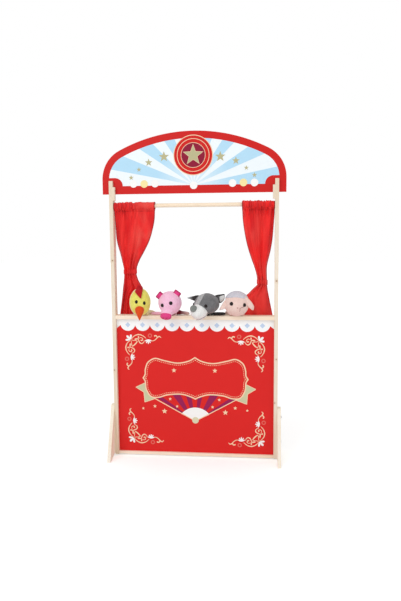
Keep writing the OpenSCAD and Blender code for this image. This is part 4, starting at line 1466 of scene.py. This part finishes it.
def make_dog():
    skull = ball(DOG_R, DOG_R, DOG_HALF_H, 0.06)
    head = stuffed("dog_plush_head", DOG_AT, skull, "dog_plush", [(STRIPE_ACROSS, 2, 0.6)])
    finish_soft(head, "dog_felt", 0.9, "dog_head")
    shape = ball(MUZZLE_R, MUZZLE_R, MUZZLE_HALF_H)
    muzzle = stuffed("dog_plush_muzzle", MUZZLE_AT, shape, "dog_white", floor=None)
    finish_soft(muzzle, "dog_muzzle_felt", 0.9, "dog_muzzle")
    nose_at = MUZZLE_AT + MUZZLE_R * Vector((-0.55, -0.73, 0.45))
    shape = ball(NOSE_R, NOSE_R, NOSE_R)
    nose = stuffed("dog_plush_nose", nose_at, shape, "dog_nose", lump=0.4, level=5, floor=None)
    finish_soft(nose, "dog_dark_felt", 0.9, "dog_nose")
    dog_ears()
    seam = [MUZZLE_AT + Vector(p) for p in MUZZLE_SEAM]
    finish_soft(cord_along("dog_muzzle_seam", seam, 0.75, "dog_seam"), "dog_dark_felt", 0.5)
    eyes("dog", DOG_AT, DOG_R, DOG_HALF_H, ((1, -6), (-88, -4)), 5.8, 6.0)
    glove("dog", [(-6, 46.5), (62, 42.5)], "dog_dark", "dog_dark_felt")
    arms("dog", 6, (6.5, 38), (111.5, 58), "dog_dark", "dog_dark_felt")


def dog_ears():
    """The left ear sticks out with a pale tip; the right one shows its pale inside."""
    left_at = DOG_AT + Vector((-35.2, 0, 18))
    right_at = DOG_AT + Vector((40, 22, 15.1))
    left = [(-34, 1), (-25, 5), (-15, 7), (4, 11), (13, 6), (1, -10), (-11, -8), (-24, -3)]
    right = [(-20, 6), (-7, 12), (7, 14), (19, 15.5), (21.5, 9), (19, -4), (7, -16), (-8, -13)]
    rim = [(-19, 6), (-7, 13), (7, 15), (19, 16.5), (20.5, 13), (8, 10.5), (-4, 9), (-14, 4)]
    inside = [(3, 5), (9, 10), (18.5, 12.5), (20.5, 8), (18, -3), (8, -12), (3.5, -8)]
    left_ear = flap("dog_ear_left", left_at, left, 6.0, "dog_ear")
    edge = flap("dog_ear_rim", right_at - Vector((0, 2.4, 0)), rim, 4.0, "dog_ear")
    finish_soft(join("dog_felt_ears", [left_ear, edge]), "dog_dark_felt", 0.4, "dog_ears")
    finish_soft(flap("dog_ear_right", right_at, right, 5.0, "dog_grey"), "dog_dark_felt", 0.4)
    lining_at = right_at - Vector((0, 1.9, 0))
    lining = flap("dog_ear_lining", lining_at, inside, LINING_T, "dog_white")
    finish_soft(lining, "dog_dark_felt", 0.4)


LAMB_AT = Vector((150, -23, 559.5))
LAMB_R = 43
LAMB_NECK = [(-6, 146), (26, 129.5), (40, 121), (50, 121), (62, 126)]
THREAD_R = 0.6
# Distances of the stitched mouth and nose from the head's middle
SMILE_OUT = 43.7
NOSE_OUT = 43.4
KNOT_R = 1.7
LAMB_SMILE = [(12.3, -13), (15, -10), (19, -8), (25, -6.5)]
LAMB_TICK = [(12.3, -13), (13.9, -17), (10.5, -22)]
LAMB_LINING = 0.84
LAMB_EARS = {
    (-45.2, -17.2, -3): [(11, 17), (8, 21), (1, 13), (-5, 3), (-14.5, -17), (0, -15), (8, -10), (12, -1)],
    (40, -18.9, 5.2): [(-14, 21), (-9, 23), (8, 8), (20, -11), (17, -25), (5, -18), (-4, -9), (-12, 3)],
}


def make_lamb():
    head = stuffed("lamb_plush_head", LAMB_AT, ball(LAMB_R, LAMB_R, LAMB_R), "lamb_face")
    finish_soft(head, "lamb_felt", 0.9, "lamb_head")
    finish_soft(lamb_cap(), "lamb_wool", 0.5, "lamb_cap")
    ears = []
    for place, outline in LAMB_EARS.items():
        middle = middle_of(outline)
        inner = [middle + (Vector(p) - middle) * LAMB_LINING for p in outline]
        ears.append((LAMB_AT + Vector(place), 0, outline, inner))
    lined_ears("lamb", "lamb_felt", ears, "lamb_edge", 6.0, "lamb_face", 2.2, 0.3)
    threads = []
    for k, line in enumerate((LAMB_SMILE, LAMB_TICK)):
        places = [on_ball(LAMB_AT, SMILE_OUT, *p) for p in line]
        threads.append(cord_along(f"lamb_thread_{k}", places, THREAD_R, "lamb_thread"))
    nose_at = on_ball(LAMB_AT, NOSE_OUT, 4.7, -9.4)
    knot = ball(KNOT_R, KNOT_R, KNOT_R)
    threads.append(stuffed("lamb_nose", nose_at, knot, "lamb_thread", lump=0.1, level=3, floor=None))
    finish_soft(join("lamb_face_thread", threads), "lamb_felt", 0.5)
    eyes("lamb", LAMB_AT, LAMB_R, LAMB_R, ((-22, 6.5), (40, 0)), 6.7, 6.7)
    glove("lamb", LAMB_NECK, "lamb_face", "lamb_felt")
    arms("lamb", -6, (122, 140), (176, 160), "lamb_face", "lamb_felt")


CAP_OUTER = 45.2
CAP_INNER = 43.2
# Angles from the crown to the top ring and to the wavy edge, and how far the cap leans back
CAP_TOP = 0.5
CAP_EDGE = 66
CAP_LEAN = -12
CAP_WOOL = 0.9


def lamb_cap():
    """Woolly cap with a wavy lower edge."""
    rows, columns = 26, 96
    lean = Matrix.Rotation(radians(CAP_LEAN), 3, "X")
    points = []
    for base in (CAP_OUTER, CAP_INNER):
        outside = base == CAP_OUTER
        for t in fractions(rows):
            for a in angles(columns):
                lowest = CAP_EDGE + 2.2 * cos(a) + 1.2 * sin(5 * a)
                angle = radians(CAP_TOP + (lowest - CAP_TOP) * t)
                way = Vector((sin(angle) * cos(a), sin(angle) * sin(a), cos(angle)))
                radius = base + (CAP_WOOL * noise.noise(way * 14) if outside else 0)
                if t > 0.9 and outside:
                    radius -= 1.6 * ((t - 0.9) / 0.1) ** 2
                points.append(LAMB_AT + lean @ (way * radius))
    half = (rows + 1) * columns
    faces = two_layers(rows + 1, columns, closed=True) + rim_faces(range(rows * columns, half), half)
    points += [LAMB_AT + lean @ (base * UP) for base in (CAP_OUTER, CAP_INNER)]
    faces += [(2 * half, b, a) for a, b in sides_of(range(columns))]
    faces += fan_faces(2 * half + 1, half, columns)
    return add_mesh("lamb_wool_cap", points, faces, "lamb_wool")


# Stage and light
FLOOR_HALF = 15000
FLOOR_PALE = ink(242, 242, 242)
# Glow of the floor where it is looked at: two distances in metres and the strengths there
FLOOR_GLOW = (0.4, 2.5, 0.38, 0.5)
SKY_LEVEL = 0.66
WHITE = (1, 1, 1, 1)
LAMP_TARGET = Vector((0, 0, 0.6))
# Place and size in metres, power in watts
LAMPS = {"key": ((-1.6, -2.8, 2.6), 2.0, 40), "fill": ((2.2, -2.6, 1.4), 2.4, 15)}


def make_floor():
    """Pale floor that keeps shadows, lifted to white where it is looked at."""
    pale = Finish("floor", Base_Color=FLOOR_PALE, Roughness=0.9, Emission_Color=WHITE)
    glow = pale.spread(pale.length(pale.place), *FLOOR_GLOW)
    pale.put(pale.times(pale.seen_directly(), glow), pale.shader["Emission Strength"])
    corners = [(x * FLOOR_HALF, y * FLOOR_HALF, 0) for x, y in ((-1, -1), (1, -1), (1, 1), (-1, 1))]
    add_mesh("floor", corners, [(0, 1, 2, 3)], "floor")


def make_world():
    world = bpy.data.worlds.new("studio")
    bpy.context.scene.world = world
    sky = Nodes(world)
    background = sky.tree.nodes["Background"].inputs
    background["Color"].default_value = WHITE
    sky.put(sky.spread(sky.seen_directly(), 0.0, 1.0, SKY_LEVEL, 1.0), background["Strength"])


def make_lamps():
    for name, (place, size, power) in LAMPS.items():
        data = bpy.data.lights.new(name, "AREA")
        data.size = size
        data.energy = power
        lamp = new_object(name, data)
        lamp.location = place
        lamp.rotation_euler = (LAMP_TARGET - lamp.location).to_track_quat("-Z", "Y").to_euler()


make_camera()
make_materials()
finish_wood_and_steel()
header_artwork()
panel_artwork()
make_curtains()
make_chick()
make_pig()
make_dog()
make_lamb()
make_floor()
make_world()
make_lamps()
bpy.context.scene.view_settings.view_transform = "Standard"

bpy.context.view_layer.update()
